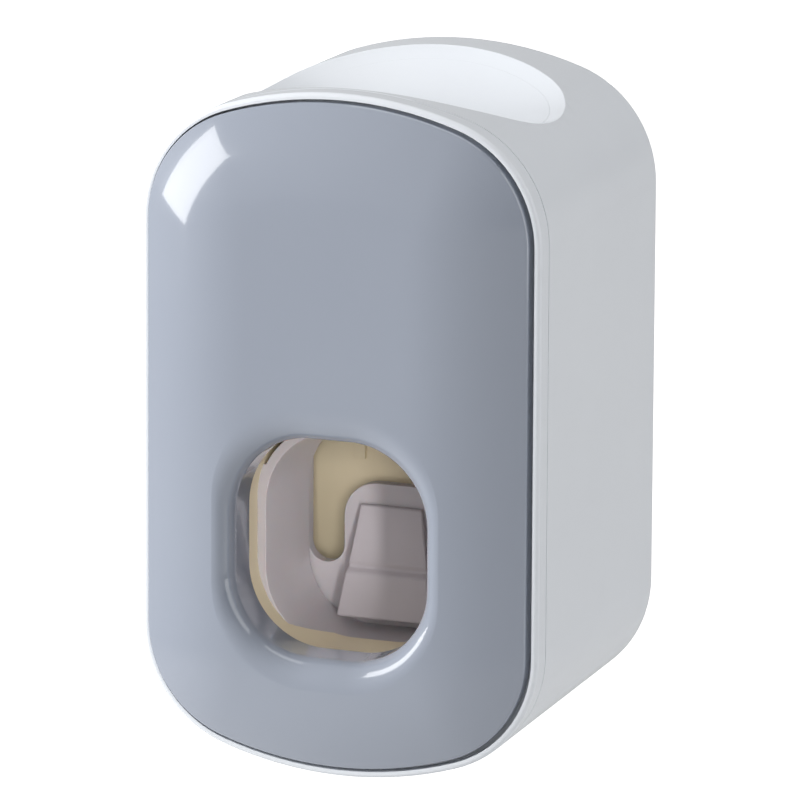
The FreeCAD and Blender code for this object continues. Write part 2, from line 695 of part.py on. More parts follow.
def build_shell():
    """The moulded body: a sleeve open in front and behind, and the tube's cup welded under its top."""
    sleeve = new_body("shell_sleeve")
    loft(sleeve, *outside(sleeve, "sleeve", "wall_gap", MOUTH))
    dress(sleeve, "Fillet", "Radius", at_forward("wall_gap"), Radius="back_round")
    loft(sleeve, *outside(sleeve, "cavity", "wall_gap", MOUTH, "shell_wall"), cut=True)

    def scoop(name, grow):
        """The scoop's ellipsoid, grown all round."""
        return primitive("Ellipsoid", name, "0", TUBE_FORWARD, SCOOP_CENTRE, UP,
                         Radius1=f"scoop_rise + scoop_depth + {grow}", Radius2=f"scoop_half_width + {grow}",
                         Radius3=f"scoop_half_depth + {grow}")
    shell = cut("housing_shell", sleeve, scoop("scoop_mouth", "0"))

    lip = f"({SEAL_OUTER} + tube_seal_lip)"
    lip_foot = f"({SCOOP_FLOOR} + scoop_rise + scoop_depth - (scoop_rise + scoop_depth)"
    lip_foot += f" * sqrt(1 - ({lip} / scoop_half_depth) ^ 2))"
    inside = new_body("shell_inside")
    loft(inside, *outside(inside, "inside", INNER_BACK, MOUTH, "shell_wall + weld_gap"))
    bowl = many("MultiCommon", "cup_bowl", [inside, scoop("bowl_outer", "bowl_wall")])
    collar = cylinder("cup_collar", "0", TUBE_FORWARD, COLLAR_FOOT, f"{SEAL_OUTER} + collar_wall",
                      f"{lip_foot} - {COLLAR_FOOT}")
    solid = many("MultiFuse", "cup_solid", [bowl, collar])
    bore = cylinder("collar_bore", "0", TUBE_FORWARD, COLLAR_FOOT, SEAL_OUTER,
                    f"{SCOOP_CENTRE} - {COLLAR_FOOT}")
    hollow = many("MultiFuse", "cup_hollow", [scoop("scoop_cut", "0"), bore])
    cup = cut("tube_cup", solid, hollow)

    lip_top = f"({lip_foot} + tube_seal_lip_thickness)"
    blank = upright("seal_blank", TUBE_FORWARD, [
        ("tube_bore", COLLAR_FOOT), (SEAL_OUTER, COLLAR_FOOT), (SEAL_OUTER, SCOOP_FLOOR), (lip, SCOOP_FLOOR),
        (lip, lip_top), ("tube_bore", lip_top)])
    seal = cut("tube_seal", blank, cup)
    return [shell, cup, seal]


def build_back():
    """The plate that closes the sleeve behind: the hanger's slot outside, posts for the chassis inside."""
    back = new_body("back_plate")
    loft(back, *outside(back, "back", "wall_gap", INNER_BACK, "shell_wall + weld_gap"))
    boxed = sketch(back, "hanger_box", FRONT, INNER_BACK)
    half = f"({SLOT_HALF} + hanger_wall)"
    low = f"max(-{SLOT_LOW} - hanger_wall; {BODY_FOOT} + draft_inset + shell_wall)"
    rectangle(boxed, f"-{half}", half, low, f"{SLOT_TOP} + hanger_wall")
    run(back, boxed, f"{SLOT_FLOOR} + hanger_wall - {INNER_BACK}")
    posts = sketch(back, "posts", FRONT, INNER_BACK)
    for side, sign in SIDES:
        for height in ("lug_high", "-lug_low"):
            circle(posts, f"{sign} * lug_reach", height, "lug_radius")
    run(back, posts, f"lug_forward - {INNER_BACK}")
    pilots = sketch(back, "pilots", FRONT, "lug_forward")
    for side, sign in SIDES:
        for height in ("lug_high", "-lug_low"):
            circle(pilots, f"{sign} * lug_reach", height, "screw_radius")
    run(back, pilots, "screw_bite", cut=True, back=True)

    lips = sketch(back, "hanger_mouth", FRONT, "wall_gap")
    rectangle(lips, f"-{SLOT_HALF}", SLOT_HALF, f"-{SLOT_LOW}", f"-({LIP_LOW})")
    run(back, lips, f"{SLOT_FLOOR} - wall_gap", cut=True)
    neck = sketch(back, "hanger_neck", FRONT, "wall_gap")
    neck_half = "(neck_width / 2 + hanger_gap)"
    rectangle(neck, f"-{neck_half}", neck_half, f"-({LIP_LOW})", SLOT_TOP)
    run(back, neck, f"{SLOT_FLOOR} - wall_gap", cut=True)
    wings = sketch(back, "hanger_wings", FRONT, LIP_FRONT)
    rectangle(wings, f"-{SLOT_HALF}", SLOT_HALF, f"-({LIP_LOW})", SLOT_TOP)
    run(back, wings, f"{SLOT_FLOOR} - {LIP_FRONT}", cut=True)
    return [back]


# Pump chassis

def build_chassis():
    """The frame that carries the pump, the well and the lever."""
    chassis = new_body("pump_chassis")
    barrel = sketch(chassis, "barrel", FRONT, "chamber_rear")
    circle(barrel, "0", "pump_height", CHAMBER_OUTER)
    run(chassis, barrel, "chamber_front - chamber_rear")
    turret = sketch(chassis, "turret", PLAN, "pump_height")
    circle(turret, "0", f"-{TUBE_FORWARD}", "turret_radius")
    run(chassis, turret, "turret_height", back=False)
    deck = sketch(chassis, "deck", PLAN, "deck_top - deck_thickness")
    rectangle(deck, f"-{SIDE_OUTER}", SIDE_OUTER, "-chamber_front", f"-{WELL_REAR}")
    run(chassis, deck, "deck_thickness")
    pipe = sketch(chassis, "outlet_pipe", PLAN, "outlet_end")
    circle(pipe, "0", "-outlet_forward", "outlet_radius")
    run(chassis, pipe, "pump_height - outlet_end")

    walls = sketch(chassis, "side_walls", SIDE, "side_inner")
    rectangle(walls, f"-{SIDE_FRONT}", "-side_rear", "-side_low", "deck_top")
    right_wall = run(chassis, walls, "side_wall")
    lugs = sketch(chassis, "lugs", FRONT, "lug_forward")
    for height in ("lug_high", "-lug_low"):
        low, high = f"{height} - lug_radius", f"{height} + lug_radius"
        rectangle(lugs, "side_inner", "lug_reach + lug_radius", low, high)
    right_lugs = run(chassis, lugs, "lug_thickness")
    mirror(chassis, right_wall, right_lugs)

    top_out, top_up = pushed(LEVER_BACK, "-tongue_drop")
    lean = "tan(push_angle)"
    face_top = f"({top_out} - guard_gap)"
    face_low = f"({top_out} - guard_gap - ({top_up} + side_low) * {lean})"
    guard = sketch(chassis, "guard", SIDE)
    polygon(guard, [(f"-{face_top}", "-guard_drop"), (f"-{face_top}", top_up), (f"-{face_low}", "-side_low"),
                    (f"side_wall - {face_low}", "-side_low"), (f"side_wall - {face_top}", top_up),
                    (f"side_wall - {face_top}", "-guard_drop")])
    run(chassis, guard, f"2 * {SIDE_OUTER}", both=True)
    ribs = sketch(chassis, "guard_ribs", FRONT, face_top)
    for side, sign in SIDES:
        middle = f"{sign} * rib_spread"
        rectangle(ribs, f"{middle} - rib_width / 2", f"{middle} + rib_width / 2", "-rib_drop", "-guard_drop")
    run(chassis, ribs, "rib_height")
    web = sketch(chassis, "web", FRONT, f"{face_top} - side_wall")
    rectangle(web, "-web_width / 2", "web_width / 2", "-guard_drop - side_wall", "pump_height - bore_radius")
    run(chassis, web, "side_wall")

    bore = sketch(chassis, "bore", FRONT, "chamber_rear")
    circle(bore, "0", "pump_height", "bore_radius")
    run(chassis, bore, "chamber_front - chamber_rear", cut=True)
    seat = sketch(chassis, "seat_pocket", PLAN, SEAT_FOOT)
    circle(seat, "0", f"-{TUBE_FORWARD}", "seat_radius")
    run(chassis, seat, "seat_thickness", cut=True)
    inlet = sketch(chassis, "inlet_bore", PLAN, "pump_height")
    circle(inlet, "0", f"-{PORT_FORWARD}", "inlet_bore")
    run(chassis, inlet, f"{SEAT_FOOT} - pump_height", cut=True)
    outlet = sketch(chassis, "outlet_bore", PLAN, "outlet_end")
    circle(outlet, "0", "-outlet_forward", "outlet_port")
    run(chassis, outlet, "pump_height - outlet_end", cut=True)
    pin = sketch(chassis, "pin_holes", SIDE)
    circle(pin, "-pivot_forward", "pivot_height", "pin_radius")
    run(chassis, pin, f"2 * {SIDE_OUTER}", cut=True, both=True)
    lug_holes = sketch(chassis, "lug_holes", FRONT, "lug_forward")
    for side, sign in SIDES:
        for height in ("lug_high", "-lug_low"):
            circle(lug_holes, f"{sign} * lug_reach", height, "screw_radius")
    run(chassis, lug_holes, "lug_thickness", cut=True)
    ear_holes = sketch(chassis, "ear_holes", SIDE)
    for ear in EARS:
        circle(ear_holes, f"-{EAR_FORWARD}", ear, "screw_radius")
    run(chassis, ear_holes, f"2 * {SIDE_OUTER}", cut=True, both=True)

    screws = []
    for side, sign in SIDES:
        for level, height in (("upper", "lug_high"), ("lower", "-lug_low")):
            screws.append(screw(f"chassis_screw_{side}_{level}", f"{sign} * lug_reach",
                                "lug_forward + lug_thickness", height, "lug_thickness + screw_bite",
                                TO_BACK, ("0", "-1")))
    stops = []
    tilted = Rotation(Vector(1, 0, 0), 90 + num("push_angle"))
    stop_out, stop_up = pushed(LEVER_BACK, "pivot_height - stop_drop")
    foot = f"({face_top} - ({top_up} - {stop_up}) * {lean})"
    for side, sign in SIDES:
        stops.append(cylinder(f"stop_{side}", f"{sign} * stop_spread", foot, stop_up, "stop_radius",
                              "guard_gap * cos(push_angle) - stop_gap", tilted))
    return [chassis, many("Compound", "chassis_screws", screws), many("Compound", "stop_pads", stops)]


# Brush well

EAR_FORWARD = f"({WELL_FRONT} - ear_length / 2)"
EARS = ("(ear_spread - well_drop)", "(-ear_spread - well_drop)")


def build_well():
    """The bucket round the brush head, open in front and behind, with screw ears at its sides."""
    well = new_body("brush_well")
    width, height = "(throat_width / 2 - well_margin)", "(throat_height / 2)"
    corner = "(throat_round - well_margin)"

    def bucket(name, grow):
        rear = sketch(well, f"{name}_rear", FRONT, WELL_REAR)
        rounded(rear, f"({width} - well_taper + {grow})", f"({height} - well_taper / 2 + {grow})",
                f"({corner} - well_taper + {grow})", "-well_drop")
        front = sketch(well, f"{name}_front", FRONT, WELL_FRONT)
        rounded(front, f"({width} + {grow})", f"({height} + {grow})", f"({corner} + {grow})", "-well_drop")
        return rear, front
    loft(well, *bucket("well_outer", "well_wall"))
    ears = sketch(well, "ears", FRONT, f"{WELL_FRONT} - ear_length")
    for ear in EARS:
        rectangle(ears, "-side_inner", "side_inner", f"{ear} - ear_height / 2", f"{ear} + ear_height / 2")
    run(well, ears, "ear_length")
    loft(well, *bucket("well_inner", "0"), cut=True)
    hole = sketch(well, "nozzle_hole", PLAN, "-well_drop")
    circle(hole, "0", "-outlet_forward", "nozzle_shoulder + nozzle_room")
    run(well, hole, "well_drop + well_wall + nozzle_room", cut=True)
    screws = []
    holes = []
    for side, sign in SIDES:
        facing = TO_LEFT if sign == "1" else TO_RIGHT
        for level, ear in zip(("upper", "lower"), EARS):
            holes.append(cylinder(f"ear_hole_{side}_{level}", f"{sign} * side_inner", EAR_FORWARD, ear,
                                  "screw_radius", "well_screw_bite", facing))
            screws.append(screw(f"well_screw_{side}_{level}", f"{sign} * {SIDE_OUTER}", EAR_FORWARD, ear,
                                "side_wall + well_screw_bite", facing, (f"-1 * {sign}", "0")))
    well.Label = "well_blank"
    bored = cut("brush_well_bored", well, many("Compound", "ear_holes_all", holes))
    bored.Label = "brush_well"
    return [bored, many("Compound", "well_screws", screws)]


# Lever

def build_lever():
    """The three-pronged lever hung from the pivot, its pad and its bushes."""
    lever = new_body("push_lever")
    half, tongue = LEVER_HALF, "(tongue_width / 2)"
    outer = f"({tongue} + slot_width)"
    plate = sketch(lever, "plate", FRONT, LEVER_BACK)
    polygon(plate, [(f"-{half}", "-lever_drop"), (half, "-lever_drop"), (half, "-prong_drop"),
                    (outer, "-prong_drop"), (outer, "-slot_drop"), (tongue, "-slot_drop"),
                    (tongue, "-tongue_drop"), (f"-{tongue}", "-tongue_drop"), (f"-{tongue}", "-slot_drop"),
                    (f"-{outer}", "-slot_drop"), (f"-{outer}", "-prong_drop"), (f"-{half}", "-prong_drop")])
    run(lever, plate, "lever_thickness")

    def corner(drop, at):
        """A test for the upright-to-level corners at one height and one distance from the middle."""
        def test(edge):
            box_ = edge.BoundBox
            level = abs(box_.ZMin + num(drop)) < 1e-4 and abs(box_.ZMax + num(drop)) < 1e-4
            place = abs(abs(box_.XMin) - num(at)) < 1e-4 and abs(box_.XMin - box_.XMax) < 1e-4
            return level and place
        return test
    dress(lever, "Fillet", "Radius", corner("tongue_drop", tongue), Radius="tongue_round")
    inner_low, outer_low = corner("slot_drop", tongue), corner("slot_drop", outer)
    dress(lever, "Fillet", "Radius", lambda edge: inner_low(edge) or outer_low(edge),
          Radius="slot_width / 2 - running_gap")

    arm = sketch(lever, "arm", SIDE, ARM_INNER)
    bar_low, bar_high = "(pump_height - bar_low)", "(pump_height - bar_low + bar_height)"
    bar_front = "(bar_forward + bar_depth)"
    polygon(arm, [(f"-{LEVER_FRONT}", "-slot_drop"), (f"-{LEVER_FRONT}", "pivot_height"),
                  ("-pivot_forward", "pivot_height + hub_radius"), (f"-{bar_front}", bar_high),
                  ("-bar_forward", bar_high), ("-bar_forward", bar_low),
                  (f"-{bar_front}", bar_low), ("hub_radius - pivot_forward", "pivot_height - hub_radius"),
                  (f"-{LEVER_BACK}", "-prong_drop - hub_radius"), (f"-{LEVER_BACK}", "-slot_drop")])
    arm_pad = run(lever, arm, "lever_thickness")
    hub = sketch(lever, "hub", SIDE, ARM_INNER)
    circle(hub, "-pivot_forward", "pivot_height", "hub_radius")
    hub_pad = run(lever, hub, f"{HUB_OUTER} - {ARM_INNER}")
    mirror(lever, arm_pad, hub_pad)
    bar = sketch(lever, "bar", SIDE)
    rectangle(bar, f"-{bar_front}", "-bar_forward", bar_low, bar_high)
    run(lever, bar, "lever_width", both=True)
    bores = sketch(lever, "bores", SIDE)
    circle(bores, "-pivot_forward", "pivot_height", "pin_radius + running_gap + bush_wall")
    run(lever, bores, f"2 * {HUB_OUTER}", cut=True, both=True)

    pad = new_body("brush_pad")
    side = sketch(pad, "pad_side", SIDE)
    back = f"-{LEVER_FRONT}"
    slope = "((pad_toe - pad_lip) / (pad_foot_drop - pad_top_drop))"
    groove_face = f"(pad_lip + {slope} * (pad_groove_drop - pad_top_drop))"
    polygon(side, [(back, "-pad_foot_drop"), (f"{back} - pad_toe", "-pad_foot_drop"),
                   (f"{back} - {groove_face} - pad_groove_depth / 2", "-pad_groove_drop - pad_groove_depth"),
                   (f"{back} - {groove_face} + pad_groove_depth", "-pad_groove_drop"),
                   (f"{back} - {groove_face} + pad_groove_depth / 2", "-pad_groove_drop + pad_groove_depth"),
                   (f"{back} - pad_lip", "-pad_top_drop"), (back, "-pad_top_drop")])
    run(pad, side, "pad_foot_width", both=True)
    flank = sketch(pad, "pad_flank", FRONT, LEVER_FRONT)
    polygon(flank, [("pad_foot_width / 2", "-pad_foot_drop"), ("pad_foot_width", "-pad_foot_drop"),
                    ("pad_foot_width", "-pad_top_drop"), ("pad_top_width / 2", "-pad_top_drop")])
    trim = run(pad, flank, "pad_toe + pad_lip", cut=True)
    mirror(pad, trim)

    bushes = []
    for name, start in (("right", ARM_INNER), ("left", f"-{HUB_OUTER}")):
        bushes.append(ring(f"bush_{name}", start, "pivot_forward", "pivot_height",
                           "pin_radius + running_gap + bush_wall", "pin_radius + running_gap",
                           f"{HUB_OUTER} - {ARM_INNER}", TO_RIGHT))
    return [lever, pad, many("Compound", "lever_bushes", bushes)]


def build_pivot():
    """The pivot pin with a groove near each end, and the clips in the grooves."""
    reach = f"({SIDE_OUTER} + clip_thickness + pin_tail)"
    waist = "(pin_radius - clip_groove)"
    inner, outer = SIDE_OUTER, f"({SIDE_OUTER} + clip_thickness)"
    pin = new_body("pivot_pin")
    profile = sketch(pin, "pin_profile", PLAN, "pivot_height", "-pivot_forward")
    polygon(profile, [(f"-{reach}", "0"), (reach, "0"), (reach, "pin_radius"), (outer, "pin_radius"),
                      (outer, waist), (inner, waist), (inner, "pin_radius"), (f"-{inner}", "pin_radius"),
                      (f"-{inner}", waist), (f"-{outer}", waist), (f"-{outer}", "pin_radius"),
                      (f"-{reach}", "pin_radius")])
    turn(pin, profile, "H_Axis")
    clips = []
    for name, start in (("right", inner), ("left", f"-{outer}")):
        whole = ring(f"clip_{name}_ring", start, "pivot_forward", "pivot_height", "clip_radius", waist,
                     "clip_thickness", TO_RIGHT)
        mouth = box(f"clip_{name}_mouth", start, f"pivot_forward + {waist}", "pivot_height",
                    "clip_thickness", f"2 * {waist}", "clip_radius")
        clips.append(cut(f"clip_{name}", whole, mouth))
    return [pin, many("Compound", "pivot_clips", clips)]


# Pump

def build_pump():
    """Gland, cap, piston, button and return spring, all on the pump's axis."""
    rod_hole = "(rod_radius + running_gap)"
    gland = along_pump("rod_gland", [
        (GLAND_REAR, rod_hole), (GLAND_REAR, CHAMBER_OUTER), ("chamber_rear", CHAMBER_OUTER),
        ("chamber_rear", "bore_radius"), (GLAND_FRONT, "bore_radius"), (GLAND_FRONT, rod_hole)])
    plug = "(bore_radius - cap_seal_height)"
    cap = along_pump("chamber_cap", [
        ("chamber_front - cap_plug", "0"), ("chamber_front - cap_plug", plug), ("chamber_front", plug),
        ("chamber_front", CHAMBER_OUTER), ("chamber_front + cap_flange", CHAMBER_OUTER),
        ("chamber_front + cap_flange", "0")])
    cap_ring = ring("cap_seal", "0", "chamber_front - cap_plug", "pump_height", "bore_radius", plug,
                    "cap_plug", TO_FRONT)
    skirt = "(bore_radius - running_gap)"
    groove_rear = f"({PISTON_REAR} + (piston_length - seal_length) / 2)"
    groove_front = f"({groove_rear} + seal_length)"
    groove = f"({skirt} - seal_height)"
    piston = along_pump("piston", [
        (BUTTON_REAR, "0"), (BUTTON_REAR, "tail_radius"), (BUTTON_FRONT, "tail_radius"),
        (BUTTON_FRONT, "rod_radius"), (PISTON_REAR, "rod_radius"), (PISTON_REAR, skirt), (groove_rear, skirt),
        (groove_rear, groove), (groove_front, groove), (groove_front, skirt), (PISTON_FRONT, skirt),
        (PISTON_FRONT, "0")])
    seal = ring("piston_seal", "0", groove_rear, "pump_height", skirt, groove, "seal_length", TO_FRONT)
    button = ring("rod_button", "0", BUTTON_REAR, "pump_height", "button_radius", "tail_radius",
                  "button_thickness", TO_FRONT)
    return [gland, cap, cap_ring, piston, seal, button, build_spring()]


def build_spring():
    """The return spring, one wire swept along half-turn arcs between the gland and the button."""
    start, end = num(f"{BUTTON_FRONT} + spring_wire"), num(f"{GLAND_REAR} - spring_wire")
    radius, wire = num("spring_radius"), num("spring_wire")
    height = num("pump_height")
    halves = max(1, round(2 * (end - start) / num("spring_pitch")))
    pitch = 2 * (end - start) / halves
    quarters = 2 * halves

    def spot(quarter):
        angle = quarter * math.pi / 2
        forward = start + pitch * quarter / 4
        return Vector(radius * math.cos(angle), -forward, height + radius * math.sin(angle))
    edges = []
    for n in range(0, quarters, 2):
        arc_edge = Part.Arc(spot(n), spot(n + 1), spot(n + 2)).toShape()
        edges.append(arc_edge)
    path = Part.Wire(edges)
    heading = edges[0].tangentAt(edges[0].FirstParameter)
    disc = Part.Wire([Part.makeCircle(wire, spot(0), heading)])
    made = doc.addObject("Part::Feature", "return_spring")
    made.Shape = path.makePipeShell([disc], True, True)
    print("spring: least gap to itself", round(pitch - 2 * wire, 2), "mm")
    return made


# Inlet and outlet

def flap(name, forward, top, port):
    """A silicone flap: a disc under its port with a straight hinge edge behind."""
    foot = f"{top} - flap_gap - flap_thickness"
    reach = f"{port} + flap_overlap"
    disc = cylinder(f"{name}_disc", "0", forward, foot, reach, "flap_thickness")
    tab = box(f"{name}_tab", f"-{port} / 2", forward, foot, port, reach, "flap_thickness")
    return many("MultiFuse", name, [disc, tab])


def build_inlet():
    """Gasket, valve seat and flap between the tube and the chamber."""
    gasket = ring("inlet_gasket", "0", TUBE_FORWARD, TURRET_TOP, "turret_radius", "tube_bore + cover_gap",
                  "gasket_thickness")
    disc = cylinder("seat_disc", "0", TUBE_FORWARD, SEAT_FOOT, "seat_radius", "seat_thickness")
    port = cylinder("seat_port", "0", PORT_FORWARD, SEAT_FOOT, "inlet_port", "seat_thickness")
    seat = cut("inlet_seat", disc, port)
    return [gasket, seat, flap("inlet_flap", PORT_FORWARD, SEAT_FOOT, "inlet_port")]


def build_outlet():
    """Collar, flap and nozzle at the lower end of the outlet pipe."""
    skin = "(outlet_radius + collar_skin)"
    collar = upright("nozzle_collar", "outlet_forward", [
        ("nozzle_neck", COLLAR_END), (skin, COLLAR_END), (skin, "outlet_end + collar_grip"),
        ("outlet_radius", "outlet_end + collar_grip"), ("outlet_radius", "outlet_end"),
        ("collar_bore", "outlet_end"), ("collar_bore", COLLAR_FLOOR), ("nozzle_neck", COLLAR_FLOOR)])
    tip = upright("nozzle_tip", "outlet_forward", [
        ("nozzle_bore", "-nozzle_drop"), ("nozzle_end", "-nozzle_drop"), ("nozzle_shoulder", COLLAR_END),
        ("nozzle_neck", COLLAR_END), ("nozzle_neck", COLLAR_FLOOR), ("nozzle_shoulder", COLLAR_FLOOR),
        ("nozzle_shoulder", f"{COLLAR_FLOOR} + flap_thickness"),
        ("nozzle_bore", f"{COLLAR_FLOOR} + flap_thickness")])
    return [collar, tip, flap("outlet_flap", "outlet_forward", "outlet_end", "outlet_port")]


# Front cover

PANEL_SCREW_X = "(body_width / 2 - panel_screw_inset)"


# Curves as shares of their width and height: the panel's rise from its edge, and the dish's rolled lip.
CROWN = (("0", "0"), ("0.2", "0.3"), ("0.44", "0.6"), ("0.7", "0.84"), ("1", "1"))
LIP = (("0", "0"), ("0.3", "0.7"), ("1", "1"))


def build_cover():
    """Rim, crowned panel and screws, which pull off together."""
    bezel = new_body("front_bezel")
    loft(bezel, *outside(bezel, "rim", PARTING, RIM_FRONT))
    dress(bezel, "Fillet", "Radius", at_forward(RIM_FRONT), Radius="rim_round")
    seat = sketch(bezel, "panel_seat", FRONT, PANEL_REAR)
    outline(seat, "rim_width")
    run(bezel, seat, f"{RIM_FRONT} - {PANEL_REAR}", cut=True)
    hole = sketch(bezel, "ledge_hole", FRONT, PARTING)
    outline(hole, "(rim_width + ledge_width)")
    run(bezel, hole, "ledge_thickness", cut=True)
    spigot = sketch(bezel, "spigot", FRONT, f"{PARTING} - spigot_depth")
    off = f"({inset(PARTING)} + shell_wall + cover_gap)"
    outline(spigot, off)
    outline(spigot, f"({off} + spigot_wall)")
    run(bezel, spigot, "spigot_depth")
    notch = sketch(bezel, "spigot_notch", FRONT, f"{PARTING} - spigot_depth")
    rectangle(notch, "-spigot_notch / 2", "spigot_notch / 2", "pump_height", "hang_drop")
    run(bezel, notch, "spigot_depth", cut=True)
    places = [(f"{sign} * {PANEL_SCREW_X}", height) for side, sign in SIDES
              for height in ("hang_drop - panel_screw_end", f"{BODY_FOOT} + panel_screw_end")]
    holes = sketch(bezel, "panel_holes", FRONT, PARTING)
    for x, height in places:
        circle(holes, x, height, "screw_radius")
    run(bezel, holes, "ledge_thickness", cut=True)

    panel = new_body("front_panel")
    plate = sketch(panel, "panel_plate", FRONT, PANEL_REAR)
    outline(plate, PANEL_OFF)
    run(panel, plate, f"{PANEL_EDGE} - {PANEL_REAR}")
    crown = []
    for n, (across, up) in enumerate(CROWN):
        band = sketch(panel, f"crown_{n}", FRONT, f"{PANEL_EDGE} + {up} * panel_crown")
        outline(band, f"({PANEL_OFF} + {across} * crown_width)")
        crown.append(band)
    loft(panel, *crown, smooth=True)

    def window(name, forward, share):
        """The window's outline at one depth: the throat's, spread towards the dish's."""
        drawing = sketch(panel, name, FRONT, forward)
        mixed = [f"({rear} + {share} * ({front} - {rear}))" for rear, front in (
            ("throat_width / 2", "dish_width / 2"), ("throat_height / 2", "dish_height / 2"),
            ("throat_round", "dish_round"), ("(throat_lift - well_drop)", "-dish_drop"))]
        rounded(drawing, *mixed)
        return drawing
    run(panel, window("throat", PANEL_REAR, "0"), f"{PANEL_FACE} - {PANEL_REAR}", cut=True)
    lip = [window(f"lip_{n}", f"{LIP_REAR} + {up} * dish_lip", across) for n, (across, up) in enumerate(LIP)]
    for low, high in zip(lip, lip[1:]):
        loft(panel, low, high, cut=True)
    hollow = sketch(panel, "panel_hollow", FRONT, PANEL_REAR)
    outline(hollow, f"({PANEL_OFF} + panel_solid)")
    rounded(hollow, "(throat_width / 2 + dish_wall)", "(throat_height / 2 + dish_wall)",
            "(throat_round + dish_wall)", "throat_lift - well_drop")
    run(panel, hollow, f"{PANEL_FACE} - panel_skin - {PANEL_REAR}", cut=True)
    bosses = sketch(panel, "panel_pilots", FRONT, PANEL_REAR)
    for x, height in places:
        circle(bosses, x, height, "screw_radius")
    run(panel, bosses, "panel_screw_bite", cut=True)
    screws = []
    for n, (x, height) in enumerate(places):
        screws.append(screw(f"panel_screw_{n}", x, PARTING, height, "ledge_thickness + panel_screw_bite",
                            TO_FRONT, ("0", "1")))
    return [bezel, panel, many("Compound", "panel_screws", screws)]


NODES = []
for build in (build_wall, build_shell, build_back, build_chassis, build_well, build_lever, build_pivot,
              build_pump, build_inlet, build_outlet, build_cover):
    NODES += build()
doc.recompute()

for thing in doc.Objects:
    if "Invalid" in thing.State or "Error" in thing.State:
        raise RuntimeError(f"{thing.Name} did not build: {thing.State}")
os.makedirs("parts", exist_ok=True)
for node in NODES:
    if node.Shape.isNull() or not node.Shape.isValid():
        raise RuntimeError(f"{node.Label} has no valid shape")
    node.Shape.exportStep(f"parts/{node.Label}.step")
    extent = node.Shape.BoundBox
    print(f"{node.Label}: {len(node.Shape.Solids)} solid(s), {node.Shape.Volume:.1f} mm3, "
          f"x {extent.XMin:.1f}..{extent.XMax:.1f}, y {extent.YMin:.1f}..{extent.YMax:.1f}, "
          f"z {extent.ZMin:.1f}..{extent.ZMax:.1f}")
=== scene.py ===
# %% [markdown]
# A wall-hung toothpaste dispenser, dressed for its photograph.
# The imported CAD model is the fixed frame: it says where every piece is and what moves.
# This lesson gives each piece its finish, rebuilds the pieces whose curves show in reflections,
# and sets up the camera and the light.

# %% The frame
import math
import bmesh
import bpy
import numpy as np
from mathutils import Matrix, Vector


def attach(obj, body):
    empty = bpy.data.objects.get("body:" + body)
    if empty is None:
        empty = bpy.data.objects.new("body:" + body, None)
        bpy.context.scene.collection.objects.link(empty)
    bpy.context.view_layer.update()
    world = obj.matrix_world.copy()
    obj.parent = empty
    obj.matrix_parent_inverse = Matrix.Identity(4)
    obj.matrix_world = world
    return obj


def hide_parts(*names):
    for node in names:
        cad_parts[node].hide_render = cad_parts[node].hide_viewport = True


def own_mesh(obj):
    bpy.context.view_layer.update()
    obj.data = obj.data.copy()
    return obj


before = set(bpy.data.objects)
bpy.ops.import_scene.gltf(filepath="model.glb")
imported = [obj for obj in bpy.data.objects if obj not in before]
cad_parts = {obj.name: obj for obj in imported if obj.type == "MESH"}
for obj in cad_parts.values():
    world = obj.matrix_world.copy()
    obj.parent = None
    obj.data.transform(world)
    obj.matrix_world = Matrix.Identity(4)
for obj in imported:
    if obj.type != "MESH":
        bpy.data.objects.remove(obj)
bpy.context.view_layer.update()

# %% [markdown]
# Sizes on the drawing are millimetres and Blender works in metres, so one factor serves everywhere.
# "Forward" is the distance from the wall. The front faces -Y, so a forward place f lies at y = -f.

# %% Millimetres
MM = 0.001


def place(x, forward, z):
    """A point of the drawing as a Blender vector."""
    return Vector((x * MM, -forward * MM, z * MM))


def per(size):
    """The texture scale at which a pattern repeats every so many millimetres."""
    return 1 / (size * MM)


# %% [markdown]
# The photograph was taken from a distance with a long lens, a little from the right and from above.
# The upright edges hardly converge, so a camera with a short lens would never match.
# The angles below came from fitting the body's edges to the picture.

# %% Camera
AZIMUTH, ELEVATION, ROLL = (math.radians(angle) for angle in (21.38, 13.40, 0.29))
TARGET = place(-0.86, 30.5, -0.13)
DISTANCE = 1472 * MM
SENSOR_WIDTH, FOCAL_LENGTH = 36.0, 397.2
across = Vector((math.cos(AZIMUTH), math.sin(AZIMUTH), 0))
into = Vector((-math.sin(AZIMUTH) * math.cos(ELEVATION), math.cos(AZIMUTH) * math.cos(ELEVATION),
               -math.sin(ELEVATION)))
upward = across.cross(into)
right = math.cos(ROLL) * across + math.sin(ROLL) * upward
top = math.cos(ROLL) * upward - math.sin(ROLL) * across
lens = bpy.data.cameras.new("camera")
lens.sensor_width = SENSOR_WIDTH
lens.lens = FOCAL_LENGTH
camera = bpy.data.objects.new("camera", lens)
turned = Matrix((right, top, -into)).transposed().to_4x4()
camera.matrix_world = Matrix.Translation(TARGET - into * DISTANCE) @ turned
bpy.context.scene.collection.objects.link(camera)
bpy.context.scene.camera = camera
bpy.context.scene.view_settings.view_transform = "Standard"
print("camera at", [round(value, 3) for value in camera.location])

# %% [markdown]
# Every finish is a small tree of shader nodes, so one helper adds a node, sets it up and links it.
# Colours are written as the hex values a designer would note down, and turned to linear light by the
# standard sRGB curve.

# %% Colours and nodes


def linear(hex_colour):
    """A colour such as "E8E9EA" as linear red, green, blue and alpha."""
    parts = [int(hex_colour[n:n + 2], 16) / 255 for n in (0, 2, 4)]
    return [part / 12.92 if part <= 0.04045 else ((part + 0.055) / 1.055) ** 2.4 for part in parts] + [1.0]


def pick(sockets, name):
    """The socket of that number, or the one in use with that name."""
    if isinstance(name, int):
        return sockets[name]
    return next(item for item in sockets if item.name == name and item.enabled)


